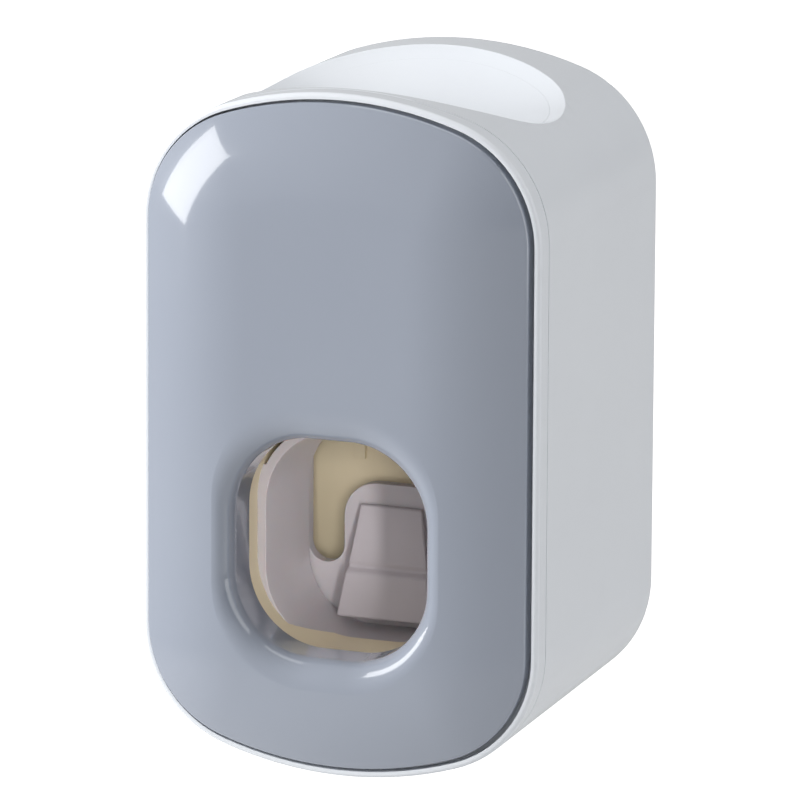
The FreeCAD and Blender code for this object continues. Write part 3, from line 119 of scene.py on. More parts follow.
def add(tree, kind, settings, links=()):
    """Add a node; settings are properties or inputs, links pair an input with a node and its output."""
    node = tree.nodes.new(kind)
    for name, value in settings.items():
        if isinstance(name, str) and hasattr(node, name):
            setattr(node, name, value)
        else:
            pick(node.inputs, name).default_value = value
    for name, source, output in links:
        tree.links.new(pick(source.outputs, output), pick(node.inputs, name))
    return node


def finish(name):
    """An empty material and its node tree."""
    made = bpy.data.materials.new(name)
    made.use_nodes = True
    made.node_tree.nodes.clear()
    return made, made.node_tree


# %% [markdown]
# The backdrop of the photograph is pure white. Brightening the lamps would burn out the object,
# so the floor itself glows a little for the camera. Its diffuse part stays, so a soft shadow of the
# object is still there, and the glossy panel mirrors that part alone, as it would in a real studio.
# Seen from below the sheet is clear, so that a low camera can look up at the object through it.

# %% Floor
FLOOR_DROP, FLOOR_HALF, FLOOR_GLOW = -0.24, 30.0, 0.85
paper, tree = finish("white_paper_sweep")
grain = add(tree, "ShaderNodeTexNoise", {"Scale": per(4), "Detail": 2.0})
tone = add(tree, "ShaderNodeMix", {"data_type": "RGBA", "A": linear("F4F4F4"), "B": linear("FAFAFA")},
           [("Factor", grain, "Fac")])
matte = add(tree, "ShaderNodeBsdfDiffuse", {}, [("Color", tone, "Result")])
ray = add(tree, "ShaderNodeLightPath", {})
seen = add(tree, "ShaderNodeMath", {"operation": "MAXIMUM"},
           [(0, ray, "Is Camera Ray"), (1, ray, "Is Transmission Ray")])
level = add(tree, "ShaderNodeMath", {"operation": "MULTIPLY", 1: FLOOR_GLOW}, [(0, seen, 0)])
glow = add(tree, "ShaderNodeEmission", {"Color": linear("FFFFFF")}, [("Strength", level, 0)])
both = add(tree, "ShaderNodeAddShader", {}, [(0, matte, 0), (1, glow, 0)])
clear = add(tree, "ShaderNodeBsdfTransparent", {})
turned_away = add(tree, "ShaderNodeNewGeometry", {})
one_sided = add(tree, "ShaderNodeMixShader", {},
                [("Fac", turned_away, "Backfacing"), (1, both, 0), (2, clear, 0)])
add(tree, "ShaderNodeOutputMaterial", {}, [("Surface", one_sided, 0)])

sheet = bpy.data.meshes.new("floor")
sheet.from_pydata([(x * FLOOR_HALF, y * FLOOR_HALF, FLOOR_DROP)
                   for x, y in ((-1, -1), (1, -1), (1, 1), (-1, 1))], [], [(0, 1, 2, 3)])
sheet.materials.append(paper)
floor = bpy.data.objects.new("floor", sheet)
bpy.context.scene.collection.objects.link(floor)

# %% [markdown]
# The room is brighter on the left than on the right, which is why the panel fades from left to right.
# A smooth change with direction does that, and a glossy surface mirrors no edges of it.

# %% World
ROOM_DIM, ROOM_BRIGHT = 0.03, 0.52
BRIGHT_SIDE = (-0.88, -0.15, 0.45)
world = bpy.data.worlds.new("room")
world.use_nodes = True
tree = world.node_tree
tree.nodes.clear()
way = add(tree, "ShaderNodeTexCoord", {})
towards = add(tree, "ShaderNodeVectorMath", {"operation": "DOT_PRODUCT", 1: BRIGHT_SIDE},
              [(0, way, "Generated")])
level = add(tree, "ShaderNodeMapRange", {"interpolation_type": "SMOOTHSTEP", "From Min": -1.0,
                                         "To Min": ROOM_DIM, "To Max": ROOM_BRIGHT},
            [("Value", towards, "Value")])
air = add(tree, "ShaderNodeBackground", {"Color": linear("FFFFFF")}, [("Strength", level, "Result")])
add(tree, "ShaderNodeOutputWorld", {}, [("Surface", air, 0)])
bpy.context.scene.world = world

# %% [markdown]
# The lamps are a plain studio set. A tilted soft box on the left makes the sharp patch on the panel's
# upper left corner, and a broad fill beside it makes the panel fade from left to right; its own mirror
# image would fill half the panel, so it has none, and it lights the outer pieces only. One box overhead
# lights the top, and one on the right lights the housing's side.
# The window would stay dark inside, so more lamps light the pieces behind it and nothing else: a narrow
# strip from the right, whose edge falls across the lever, and a faint fill from the front. The last one
# stands near the camera and lights the tan plastic, so that no shadow falls where the camera looks.

# %% Lamps
BODY_MIDDLE, PANEL_MIDDLE, PANEL_CORNER = (0, -0.03, 0), (0, -0.06, 0), (-0.022, -0.062, 0.044)
WINDOW_MIDDLE, FRAME_MIDDLE = (0, -0.045, -0.019), (0, -0.030, -0.015)
LEFT_BOX_TILT = (0.42, -0.318, 0.85)
inside_pieces = bpy.data.collections.new("inside")
tan_pieces = bpy.data.collections.new("tan_pieces")
front_pieces = bpy.data.collections.new("front")


def soft_box(name, spot, aim, width, height, radiance, along=(0, 0, 1), only=None, mirrored=True):
    """An area lamp aimed at a point, its height along a direction; only limits what it lights.

    A lamp that isn't mirrored gives light but no reflection of itself.
    """
    data = bpy.data.lights.new(name, "AREA")
    data.shape = "RECTANGLE"
    data.size, data.size_y = width, height
    data.energy = radiance * math.pi * width * height
    lamp = bpy.data.objects.new(name, data)
    back = (Vector(spot) - Vector(aim)).normalized()
    upright = (Vector(along) - Vector(along).dot(back) * back).normalized()
    axes = Matrix((upright.cross(back), upright, back)).transposed().to_4x4()
    lamp.matrix_world = Matrix.Translation(spot) @ axes
    lamp.light_linking.receiver_collection = only
    lamp.visible_glossy = mirrored
    bpy.context.scene.collection.objects.link(lamp)


soft_box("left_box", (-0.390, -0.309, 0.120), PANEL_CORNER, 0.16, 0.337, 5.0, along=LEFT_BOX_TILT)
soft_box("left_fill", (-0.87, -0.50, 0.15), PANEL_MIDDLE, 0.80, 0.80, 4.2, only=front_pieces, mirrored=False)
soft_box("overhead_box", (0.05, -0.02, 0.75), BODY_MIDDLE, 0.60, 0.60, 1.2, along=(0, 1, 0))
soft_box("right_fill", (0.80, -0.10, 0.25), BODY_MIDDLE, 0.70, 0.90, 1.45)
soft_box("window_strip", (0.54, -0.80, -0.02), WINDOW_MIDDLE, 0.06, 0.50, 54.0, only=inside_pieces)
soft_box("window_fill", (0.25, -0.90, 0.20), WINDOW_MIDDLE, 0.50, 0.50, 2.5, only=inside_pieces)
soft_box("frame_fill", (0.34, -0.86, 0.18), FRAME_MIDDLE, 0.25, 0.25, 22.0, only=tan_pieces)
print("lamps:", [item.name for item in bpy.data.lights])

# %% [markdown]
# White gloss ABS, injection moulded in a polished tool. The eye sees an even white with clear soft
# reflections and a very faint waviness, the "orange peel" that shrinkage leaves in a thick wall.

# %% White gloss ABS
white_gloss, tree = finish("abs_white_moulded_gloss")
where = add(tree, "ShaderNodeTexCoord", {})
cloud = add(tree, "ShaderNodeTexNoise", {"Scale": per(30), "Detail": 3.0}, [("Vector", where, "Object")])
body = add(tree, "ShaderNodeMix", {"data_type": "RGBA", "A": linear("E6EAF0"), "B": linear("EBEFF4")},
           [("Factor", cloud, "Fac")])
handled = add(tree, "ShaderNodeMapRange", {"To Min": 0.20, "To Max": 0.30}, [("Value", cloud, "Fac")])
peel = add(tree, "ShaderNodeTexNoise", {"Scale": per(4), "Detail": 1.0}, [("Vector", where, "Object")])
wave = add(tree, "ShaderNodeBump", {"Strength": 0.06, "Distance": 0.02 * MM}, [("Height", peel, "Fac")])
shader = add(tree, "ShaderNodeBsdfPrincipled", {"IOR": 1.53},
             [("Base Color", body, "Result"), ("Roughness", handled, "Result"),
              ("Normal", wave, "Normal")])
add(tree, "ShaderNodeOutputMaterial", {}, [("Surface", shader, 0)])

# %% [markdown]
# The panel is blue-grey ABS with a piano-gloss lacquer. The eye sees a deep even colour under a
# clear coat that mirrors the soft boxes with sharp edges, and only the faintest ripple in them.

# %% Blue-grey lacquered ABS
blue_grey, tree = finish("abs_blue_grey_lacquered")
where = add(tree, "ShaderNodeTexCoord", {})
cloud = add(tree, "ShaderNodeTexNoise", {"Scale": per(40), "Detail": 2.0}, [("Vector", where, "Object")])
body = add(tree, "ShaderNodeMix", {"data_type": "RGBA", "A": linear("9AA1AF"), "B": linear("A0A7B4")},
           [("Factor", cloud, "Fac")])
ripple = add(tree, "ShaderNodeTexNoise", {"Scale": per(7), "Detail": 1.0}, [("Vector", where, "Object")])
wave = add(tree, "ShaderNodeBump", {"Strength": 0.04, "Distance": 0.02 * MM}, [("Height", ripple, "Fac")])
smear = add(tree, "ShaderNodeMapRange", {"To Min": 0.10, "To Max": 0.16}, [("Value", cloud, "Fac")])
shader = add(tree, "ShaderNodeBsdfPrincipled",
             {"IOR": 1.53, "Coat Weight": 1.0, "Coat Roughness": 0.03, "Coat IOR": 1.5},
             [("Base Color", body, "Result"), ("Roughness", smear, "Result"),
              ("Normal", wave, "Normal")])
add(tree, "ShaderNodeOutputMaterial", {}, [("Surface", shader, 0)])

# %% [markdown]
# The well and the lever are grey polypropylene from a satin tool. Polypropylene lets a little light
# in before it comes out again, which softens its shadows and gives it a faintly pink cast. The tool's
# grit is finer than a pixel, so it is drawn at 0.6 mm, as coarse as it needs to be to show.

# %% Grey polypropylene
grey_satin, tree = finish("polypropylene_grey_satin")
where = add(tree, "ShaderNodeTexCoord", {})
cloud = add(tree, "ShaderNodeTexNoise", {"Scale": per(20), "Detail": 3.0}, [("Vector", where, "Object")])
body = add(tree, "ShaderNodeMix", {"data_type": "RGBA", "A": linear("B4ADB0"), "B": linear("BBB5B8")},
           [("Factor", cloud, "Fac")])
grit = add(tree, "ShaderNodeTexNoise", {"Scale": per(0.6), "Detail": 2.0}, [("Vector", where, "Object")])
tooth = add(tree, "ShaderNodeBump", {"Strength": 0.10, "Distance": 0.02 * MM}, [("Height", grit, "Fac")])
rubbed = add(tree, "ShaderNodeMapRange", {"To Min": 0.28, "To Max": 0.40}, [("Value", cloud, "Fac")])
shader = add(tree, "ShaderNodeBsdfPrincipled",
             {"IOR": 1.49, "Subsurface Weight": 0.12, "Subsurface Scale": 1.5 * MM},
             [("Base Color", body, "Result"), ("Roughness", rubbed, "Result"),
              ("Normal", tooth, "Normal")])
add(tree, "ShaderNodeOutputMaterial", {}, [("Surface", shader, 0)])

# %% [markdown]
# The pump's frame is moulded in tan ABS, a regrind that never shows from outside but glows warm
# through the slots of the window. It is matt, with the fine flow marks of an unpolished tool. Here too
# the tool's grit is drawn coarser than it is, at 0.5 mm, so that it shows.

# %% Tan ABS
tan_matt, tree = finish("abs_tan_moulded_matt")
where = add(tree, "ShaderNodeTexCoord", {})
stretch = add(tree, "ShaderNodeMapping", {"Scale": (1.0, 1.0, 0.25)}, [("Vector", where, "Object")])
flow = add(tree, "ShaderNodeTexNoise", {"Scale": per(6), "Detail": 4.0}, [("Vector", stretch, 0)])
body = add(tree, "ShaderNodeMix", {"data_type": "RGBA", "A": linear("DFCFAE"), "B": linear("E6D8BA")},
           [("Factor", flow, "Fac")])
grit = add(tree, "ShaderNodeTexNoise", {"Scale": per(0.5), "Detail": 2.0}, [("Vector", where, "Object")])
tooth = add(tree, "ShaderNodeBump", {"Strength": 0.15, "Distance": 0.03 * MM}, [("Height", grit, "Fac")])
dull = add(tree, "ShaderNodeMapRange", {"To Min": 0.42, "To Max": 0.55}, [("Value", flow, "Fac")])
shader = add(tree, "ShaderNodeBsdfPrincipled", {"IOR": 1.53},
             [("Base Color", body, "Result"), ("Roughness", dull, "Result"),
              ("Normal", tooth, "Normal")])
add(tree, "ShaderNodeOutputMaterial", {}, [("Surface", shader, 0)])

# %% [markdown]
# The pump's turned-looking pieces, the seats and the wall plate are white acetal: a waxy white,
# satin, with faint rings that the mould's lathe left on it. A wave texture has about three bands to a
# repeat, so a repeat of 2.2 mm puts the rings 0.7 mm apart, coarser than a lathe's so that they show.

# %% White acetal
white_satin, tree = finish("acetal_white_satin")
where = add(tree, "ShaderNodeTexCoord", {})
cloud = add(tree, "ShaderNodeTexNoise", {"Scale": per(12), "Detail": 3.0}, [("Vector", where, "Object")])
body = add(tree, "ShaderNodeMix", {"data_type": "RGBA", "A": linear("E2E1DC"), "B": linear("EAE9E5")},
           [("Factor", cloud, "Fac")])
lathe = add(tree, "ShaderNodeTexWave", {"Scale": per(2.2), "Distortion": 0.4, "bands_direction": "Y"},
            [("Vector", where, "Object")])
turning = add(tree, "ShaderNodeBump", {"Strength": 0.05, "Distance": 0.02 * MM}, [("Height", lathe, "Fac")])
waxy = add(tree, "ShaderNodeMapRange", {"To Min": 0.30, "To Max": 0.42}, [("Value", cloud, "Fac")])
shader = add(tree, "ShaderNodeBsdfPrincipled",
             {"IOR": 1.48, "Subsurface Weight": 0.08, "Subsurface Scale": 1.0 * MM},
             [("Base Color", body, "Result"), ("Roughness", waxy, "Result"),
              ("Normal", turning, "Normal")])
add(tree, "ShaderNodeOutputMaterial", {}, [("Surface", shader, 0)])

# %% [markdown]
# Seals, flaps and the nozzle are milky silicone. It has soft edges, a dusty sheen and light inside it,
# and the dust that it attracts makes it a little duller and whiter in patches of a few millimetres.

# %% Milky silicone
milky_silicone, tree = finish("silicone_milky_moulded")
where = add(tree, "ShaderNodeTexCoord", {})
dust = add(tree, "ShaderNodeTexNoise", {"Scale": per(3), "Detail": 4.0}, [("Vector", where, "Object")])
body = add(tree, "ShaderNodeMix", {"data_type": "RGBA", "A": linear("E4E5E1"), "B": linear("EEEEEB")},
           [("Factor", dust, "Fac")])
powder = add(tree, "ShaderNodeMapRange", {"To Min": 0.42, "To Max": 0.58}, [("Value", dust, "Fac")])
shader = add(tree, "ShaderNodeBsdfPrincipled",
             {"IOR": 1.41, "Subsurface Weight": 0.35, "Subsurface Scale": 2.0 * MM, "Sheen Weight": 0.08},
             [("Base Color", body, "Result"), ("Roughness", powder, "Result")])
add(tree, "ShaderNodeOutputMaterial", {}, [("Surface", shader, 0)])

# %% [markdown]
# The brush pad is a soft elastomer moulded over the lever: the lever's grey, but duller, with a
# tooth so that a wet brush doesn't slide off. The tooth is drawn at 0.4 mm, coarse enough to show.

# %% Grey elastomer
grey_soft, tree = finish("elastomer_grey_overmoulded")
where = add(tree, "ShaderNodeTexCoord", {})
cloud = add(tree, "ShaderNodeTexNoise", {"Scale": per(10), "Detail": 3.0}, [("Vector", where, "Object")])
body = add(tree, "ShaderNodeMix", {"data_type": "RGBA", "A": linear("ADA6AA"), "B": linear("B5AEB2")},
           [("Factor", cloud, "Fac")])
grit = add(tree, "ShaderNodeTexNoise", {"Scale": per(0.4), "Detail": 2.0}, [("Vector", where, "Object")])
tooth = add(tree, "ShaderNodeBump", {"Strength": 0.12, "Distance": 0.03 * MM}, [("Height", grit, "Fac")])
worn = add(tree, "ShaderNodeMapRange", {"To Min": 0.34, "To Max": 0.48}, [("Value", cloud, "Fac")])
shader = add(tree, "ShaderNodeBsdfPrincipled", {"IOR": 1.47},
             [("Base Color", body, "Result"), ("Roughness", worn, "Result"),
              ("Normal", tooth, "Normal")])
add(tree, "ShaderNodeOutputMaterial", {}, [("Surface", shader, 0)])

# %% [markdown]
# O-rings and the lever's stops are black nitrile rubber: nearly black, dull, greyer where handled.
# The bloom that rubber sweats out lies on it in spots of about two millimetres.

# %% Black nitrile
black_rubber, tree = finish("nitrile_black_moulded")
where = add(tree, "ShaderNodeTexCoord", {})
bloom = add(tree, "ShaderNodeTexNoise", {"Scale": per(2), "Detail": 4.0}, [("Vector", where, "Object")])
body = add(tree, "ShaderNodeMix", {"data_type": "RGBA", "A": linear("1C1C1D"), "B": linear("2A2A2B")},
           [("Factor", bloom, "Fac")])
dull = add(tree, "ShaderNodeMapRange", {"To Min": 0.50, "To Max": 0.68}, [("Value", bloom, "Fac")])
shader = add(tree, "ShaderNodeBsdfPrincipled", {"IOR": 1.52},
             [("Base Color", body, "Result"), ("Roughness", dull, "Result")])
add(tree, "ShaderNodeOutputMaterial", {}, [("Surface", shader, 0)])

# %% [markdown]
# The pad that sticks the plate to the wall is closed-cell acrylic foam: pale, matt, full of cells
# about a third of a millimetre across, which show as a fine pitting. The colour also darkens towards
# the bottom of each pit, and that darkening is painted shade in the pits.

# %% Acrylic foam
pale_foam, tree = finish("acrylic_foam_closed_cell")
where = add(tree, "ShaderNodeTexCoord", {})
cells = add(tree, "ShaderNodeTexVoronoi", {"Scale": per(0.35)}, [("Vector", where, "Object")])
# Painted shade: darker where the pits are deepest, following the same cells as the bump.
body = add(tree, "ShaderNodeMix", {"data_type": "RGBA", "A": linear("B9B7B0"), "B": linear("DAD8D2")},
           [("Factor", cells, "Distance")])
pitted = add(tree, "ShaderNodeBump", {"Strength": 0.6, "Distance": 0.1 * MM},
             [("Height", cells, "Distance")])
shader = add(tree, "ShaderNodeBsdfPrincipled", {"IOR": 1.48, "Roughness": 0.85},
             [("Base Color", body, "Result"), ("Normal", pitted, "Normal")])
add(tree, "ShaderNodeOutputMaterial", {}, [("Surface", shader, 0)])

# %% [markdown]
# Screws, pin, clips and spring are stainless steel, drawn or turned: bright, with a fine mottle of
# duller spots. Those marks are finer than a pixel too, so they are drawn at half a millimetre.

# %% Stainless steel
steel, tree = finish("stainless_steel_drawn")
where = add(tree, "ShaderNodeTexCoord", {})
marks = add(tree, "ShaderNodeTexNoise", {"Scale": per(0.5), "Detail": 3.0}, [("Vector", where, "Object")])
body = add(tree, "ShaderNodeMix", {"data_type": "RGBA", "A": linear("C3C4C6"), "B": linear("D2D3D4")},
           [("Factor", marks, "Fac")])
drawn = add(tree, "ShaderNodeMapRange", {"To Min": 0.22, "To Max": 0.36}, [("Value", marks, "Fac")])
shader = add(tree, "ShaderNodeBsdfPrincipled", {"Metallic": 1.0},
             [("Base Color", body, "Result"), ("Roughness", drawn, "Result")])
add(tree, "ShaderNodeOutputMaterial", {}, [("Surface", shader, 0)])
print("finishes:", len(bpy.data.materials))

# %% [markdown]
# Many pieces have the right shape in the CAD model already. A CAD mesh is loose triangles with
# knife-sharp edges, and real mouldings have small radii that catch the light. So each such piece is
# a copy: merged, its flat triangles joined, its sharp edges bevelled, and its normals weighted so
# that flat faces stay flat in the reflections.

# %% Copies of CAD pieces
SHARP, FLAT = math.radians(35), math.radians(0.4)
MERGE_GAP = 0.002 * MM
BEVEL_STEPS = 3


def evaluated(piece):
    """The piece's mesh with its modifiers applied, as a plain mesh in the same object."""
    graph = bpy.context.evaluated_depsgraph_get()
    solid = bpy.data.meshes.new_from_object(piece.evaluated_get(graph))
    piece.modifiers.clear()
    piece.data = solid
    return piece


def hand_over(piece, body, slot, *nodes):
    """Hang the piece on its body and hide the CAD nodes that it stands for; slot is not used."""
    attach(piece, body)
    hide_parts(*nodes)


def eased(piece, radius, share=None):
    """Smooth shading and rounded sharp edges; share gives the part of the radius at a point."""
    shape = bmesh.new()
    shape.from_mesh(piece.data)
    weight = shape.edges.layers.float.new("bevel_weight_edge")
    for edge in shape.edges:
        if edge.calc_face_angle(0) > SHARP:
            full = share((edge.verts[0].co + edge.verts[1].co) / 2 / MM) if share else 1.0
            edge[weight] = full if radius else 0.0
            edge.smooth = edge[weight] > 0
    for face in shape.faces:
        face.smooth = True
        face.material_index = 0
    shape.to_mesh(piece.data)
    shape.free()
    if radius:
        bevel = piece.modifiers.new("edges", "BEVEL")
        bevel.width = radius * MM
        bevel.segments = BEVEL_STEPS
        bevel.limit_method = "WEIGHT"
    piece.modifiers.new("normals", "WEIGHTED_NORMAL").keep_sharp = True
    return evaluated(piece)


def new_piece(name, mesh, coat):
    """An object for a mesh, in the scene and with its finish."""
    mesh.materials.clear()
    mesh.materials.append(coat)
    piece = bpy.data.objects.new(name, mesh)
    bpy.context.scene.collection.objects.link(piece)
    return piece


def softened(node, name, coat, radius, body, slot, share=None):
    """A copy of a CAD node with rounded edges and a finish."""
    piece = new_piece(name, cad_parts[node].data.copy(), coat)
    shape = bmesh.new()
    shape.from_mesh(piece.data)
    bmesh.ops.remove_doubles(shape, verts=shape.verts, dist=MERGE_GAP)
    bmesh.ops.dissolve_limit(shape, angle_limit=FLAT, verts=shape.verts, edges=shape.edges)
    shape.to_mesh(piece.data)
    shape.free()
    eased(piece, radius, share)
    hand_over(piece, body, slot, node)
    print(name, "has", len(piece.data.polygons), "faces")
    return piece


# %% [markdown]
# Seen from the front, rim, panel and housing share one outline: upright sides, round corners and
# slightly crowned ends. Inset copies keep the centres of its arcs, so a point and its outward
# direction are enough to draw any of them, and the depth of a point inside has a short formula.

# %% The front outline
BODY_WIDTH, BODY_HEIGHT, CORNER, END = 70.0, 115.0, 21.0, 65.0
CORNER_X = BODY_WIDTH / 2 - CORNER
END_Z = BODY_HEIGHT / 2 - END
CORNER_Z = END_Z + math.sqrt((END - CORNER) ** 2 - CORNER_X ** 2)
LEAN = math.atan2(CORNER_Z - END_Z, CORNER_X)
CORNER_STEPS, END_STEPS, SIDE_STEPS = 26, 56, 40


def bend(x, z, radius, start, stop, steps):
    """Points on an arc and their outward directions."""
    angle = np.linspace(start, stop, steps, endpoint=False)
    outward = np.stack([np.cos(angle), np.sin(angle)], axis=1)
    return np.hstack([np.array([x, z]) + radius * outward, outward])


def upright_side(sign):
    """Points on an upright side, in the order of an anticlockwise walk, and their outward directions."""
    z = np.linspace(-sign * CORNER_Z, sign * CORNER_Z, SIDE_STEPS, endpoint=False)
    return np.stack([sign * BODY_WIDTH / 2 + 0 * z, z, sign + 0 * z, 0 * z], axis=1)


walk = np.vstack([
    bend(CORNER_X, CORNER_Z, CORNER, 0, LEAN, CORNER_STEPS),
    bend(0, END_Z, END, LEAN, math.pi - LEAN, END_STEPS),
    bend(-CORNER_X, CORNER_Z, CORNER, math.pi - LEAN, math.pi, CORNER_STEPS),
    upright_side(-1),
    bend(-CORNER_X, -CORNER_Z, CORNER, math.pi, math.pi + LEAN, CORNER_STEPS),
    bend(0, -END_Z, END, math.pi + LEAN, 2 * math.pi - LEAN, END_STEPS),
    bend(CORNER_X, -CORNER_Z, CORNER, 2 * math.pi - LEAN, 2 * math.pi, CORNER_STEPS),
    upright_side(1),
])


def inset_outline(off):
    """The outline's points, moved inwards."""
    return walk[:, :2] - off * walk[:, 2:]


def depth_inside(x, z, off):
    """How far points lie inside the outline with that inset."""
    x, z = np.abs(x), np.abs(z)
    straight = np.minimum(BODY_WIDTH / 2 - x, END - np.hypot(x, z - END_Z))
    angle = np.arctan2(z - CORNER_Z, x - CORNER_X)
    rounded = CORNER - np.hypot(x - CORNER_X, z - CORNER_Z)
    return np.where((angle > 0) & (angle < LEAN), rounded, straight) - off


print("outline has", len(walk), "points")

# %% [markdown]
# The scoop on top is cut through the shell into the welded cup below it, and its surface is part of an
# ellipsoid. On the real object that weld is polished away, so the edges along it stay sharp and closed,
# while the scoop's outer edge gets the generous radius that shows as a white line in the photograph.
# An edge counts as the scoop's when it lies on the ellipsoid, and as its outer one when it lies in the
# shell's outer skin. The sides lean in a little towards the back, so the skin does too.

# %% Edges of the scoop
SCOOP_CENTRE, SCOOP_AXES, SCOOP_NEAR = (0.0, 32.0, 66.0), (45.0, 25.4, 20.0), 0.15
RIM_FRONT, BODY_DEPTH, DRAFT = 60.0, 59.0, 1.2
SCOOP_ROUND, EDGE_ROUND, SKIN = 0.6, 0.25, 1.0


def scoop_share(spot):
    """The share of the scoop's edge radius at a point of the shell."""
    x, forward, z = spot.x, -spot.y, spot.z
    reach = sum(((value - middle) / axis) ** 2
                for value, middle, axis in zip((x, forward, z), SCOOP_CENTRE, SCOOP_AXES))
    if abs(reach - 1) > SCOOP_NEAR:
        return EDGE_ROUND / SCOOP_ROUND
    draft = DRAFT * (RIM_FRONT - forward) / BODY_DEPTH
    return float(depth_inside(x, z, draft) < SKIN)


# %% [markdown]
# The housing, the cover's rim and the pieces that the window shows take this route, each with the edge
# radius that such a moulding has, and each joins the set of pieces that its lamps may light.
# The cup swells by a hair, which closes the gap that the CAD model leaves for the weld.

# %% Housing and wall pieces
CUP_SWELL = 1.0015
shell = softened("housing_shell", "shell", white_gloss, SCOOP_ROUND, "housing", "white_gloss", scoop_share)
cup = softened("tube_cup", "cup_bowl", white_gloss, 0, "housing", "white_gloss")
cup.data.transform(Matrix.Diagonal((CUP_SWELL, 1, CUP_SWELL, 1)))
front_pieces.objects.link(shell)
front_pieces.objects.link(cup)


def soften_all(rows):
    """Copy each CAD node in a table, and add it to the set of pieces in its last column, if any."""
    for node, name, coat, radius, body, slot, lit in rows:
        piece = softened(node, name, coat, radius, body, slot)
        if lit:
            lit.objects.link(piece)


soften_all([
    ("back_plate", "rear_plate", white_gloss, 0.25, "housing", "white_gloss", None),
    ("front_bezel", "rim", white_gloss, 0.2, "cover", "white_gloss", front_pieces),
    ("pump_chassis", "pump_frame", tan_matt, 0.2, "housing", "tan_plastic", tan_pieces),
    ("brush_well", "well", grey_satin, 0.4, "housing", "grey_plastic", inside_pieces),
    ("push_lever", "lever_plate", grey_satin, 0.4, "lever", "grey_plastic", inside_pieces),
    ("brush_pad", "pad", grey_soft, 0.6, "lever", "grey_soft", inside_pieces),
    ("wall_plate", "hanger_plate", white_satin, 0.3, "wall", "white_plastic", None),
    ("adhesive_pad", "foam_pad", pale_foam, 0.1, "wall", "foam", None),
    ("tube_seal", "neck_seal", milky_silicone, 0.25, "housing", "white_silicone", None),
    ("stop_pads", "lever_stops", black_rubber, 0.2, "housing", "black_rubber", None),
    ("lever_bushes", "bushes", white_satin, 0.1, "lever", "white_plastic", None),
    ("pivot_pin", "pin", steel, 0.1, "housing", "steel", None),
    ("pivot_clips", "clips", steel, 0.08, "housing", "steel", None),
])

# %% [markdown]
# The pump lies behind all this and shows only with the cover off, so its pieces need no shapes of their
# own either. The flaps and the piston ride their own bodies, as they move by themselves.

# %% Pump pieces
soften_all([
    ("chamber_cap", "cap", white_satin, 0.2, "housing", "white_plastic", None),
    ("cap_seal", "cap_ring", black_rubber, 0.2, "housing", "black_rubber", None),
    ("rod_gland", "gland", white_satin, 0.2, "housing", "white_plastic", None),
    ("piston", "pump_piston", white_satin, 0.12, "piston", "white_plastic", None),
    ("piston_seal", "piston_ring", black_rubber, 0.2, "piston", "black_rubber", None),
    ("rod_button", "button", white_satin, 0.3, "piston", "white_plastic", None),
    ("inlet_seat", "valve_seat", white_satin, 0.15, "housing", "white_plastic", None),
    ("inlet_gasket", "gasket", milky_silicone, 0.2, "housing", "white_silicone", None),
    ("inlet_flap", "upper_flap", milky_silicone, 0.15, "inlet_valve", "white_silicone", None),
    ("nozzle_collar", "collar", white_satin, 0.25, "housing", "white_plastic", inside_pieces),
    ("nozzle_tip", "nozzle", milky_silicone, 0.25, "housing", "white_silicone", inside_pieces),
    ("outlet_flap", "lower_flap", milky_silicone, 0.15, "outlet_valve", "white_silicone", None),
])

# %% [markdown]
# The panel is a lacquered pillow: highest in the middle, falling ever faster to an edge that is flush
# with the rim. Its reflections would show every facet of a CAD mesh, so it is drawn here as rings of
# points. They follow the outline inwards, spread to the window, roll over its lip and return behind.
# It sits a hair to the left in the rim, so the gap shows as a dark line on the right side only.

# %% Rings of the panel
PANEL_OFF, PANEL_EDGE, CROWN, CROWN_POWER = 1.6, 60.3, 5.4, 2.2
CROWN_WIDTH = CORNER - PANEL_OFF
# Windows are half their width, half their height, the radius of their corners and their middle's height.
DISH = (20.0, 24.0, 17.0, -17.9)
THROAT = (17.0, 18.5, 13.5, -18.4)
HUB = np.array([0.0, DISH[3]])
HALVINGS = 40


def crowned(points):
    """The panel's face at points in the front view, as forward places."""
    depth = np.clip(depth_inside(points[:, 0], points[:, 1], PANEL_OFF), 0, CROWN_WIDTH)
    return PANEL_EDGE + CROWN * (1 - (1 - depth / CROWN_WIDTH) ** CROWN_POWER)


def window_outline(aims, half_width, half_height, corner, middle, grow=0.0):
    """Points of a rounded rectangle in the directions of other points from the dish's middle."""
    rays = aims - HUB
    rays /= np.linalg.norm(rays, axis=1)[:, None]
    near, far = np.zeros(len(rays)), np.full(len(rays), 2 * half_height)
    for halving in range(HALVINGS):
        between = (near + far) / 2
        spot = np.abs(HUB + rays * between[:, None] - np.array([0.0, middle]))
        past = spot - np.array([half_width - corner, half_height - corner])
        outside = (np.linalg.norm(np.maximum(past, 0), axis=1) + np.minimum(past.max(axis=1), 0)
                   > corner + grow)
        near, far = np.where(outside, near, between), np.where(outside, between, far)
    return HUB + rays * near[:, None]


def ring(points, forward):
    """A ring of points in the front view and their forward place."""
    return np.column_stack([points, np.broadcast_to(forward, len(points))])


def from_rings(name, rings, coat, shift=0.0):
    """A closed piece whose skin runs from ring to ring and back to the first."""
    around, count = len(walk), len(rings)
    corners = [place(x + shift, forward, z) for row in rings for x, z, forward in row]
    quads = [(k * around + i, k * around + (i + 1) % around, (k + 1) % count * around + (i + 1) % around,
              (k + 1) % count * around + i) for k in range(count) for i in range(around)]
    mesh = bpy.data.meshes.new(name)
    mesh.from_pydata(corners, [], quads)
    return new_piece(name, mesh, coat)


# %% [markdown]
# Now the rings in order. The first ones keep the outline's shape, the next ones turn it step by step
# into the window's, closer together near the outline. A quarter turn rolls over the lip into the
# throat, and the last few rings are the throat's back, the hollow behind the face and the back edge.

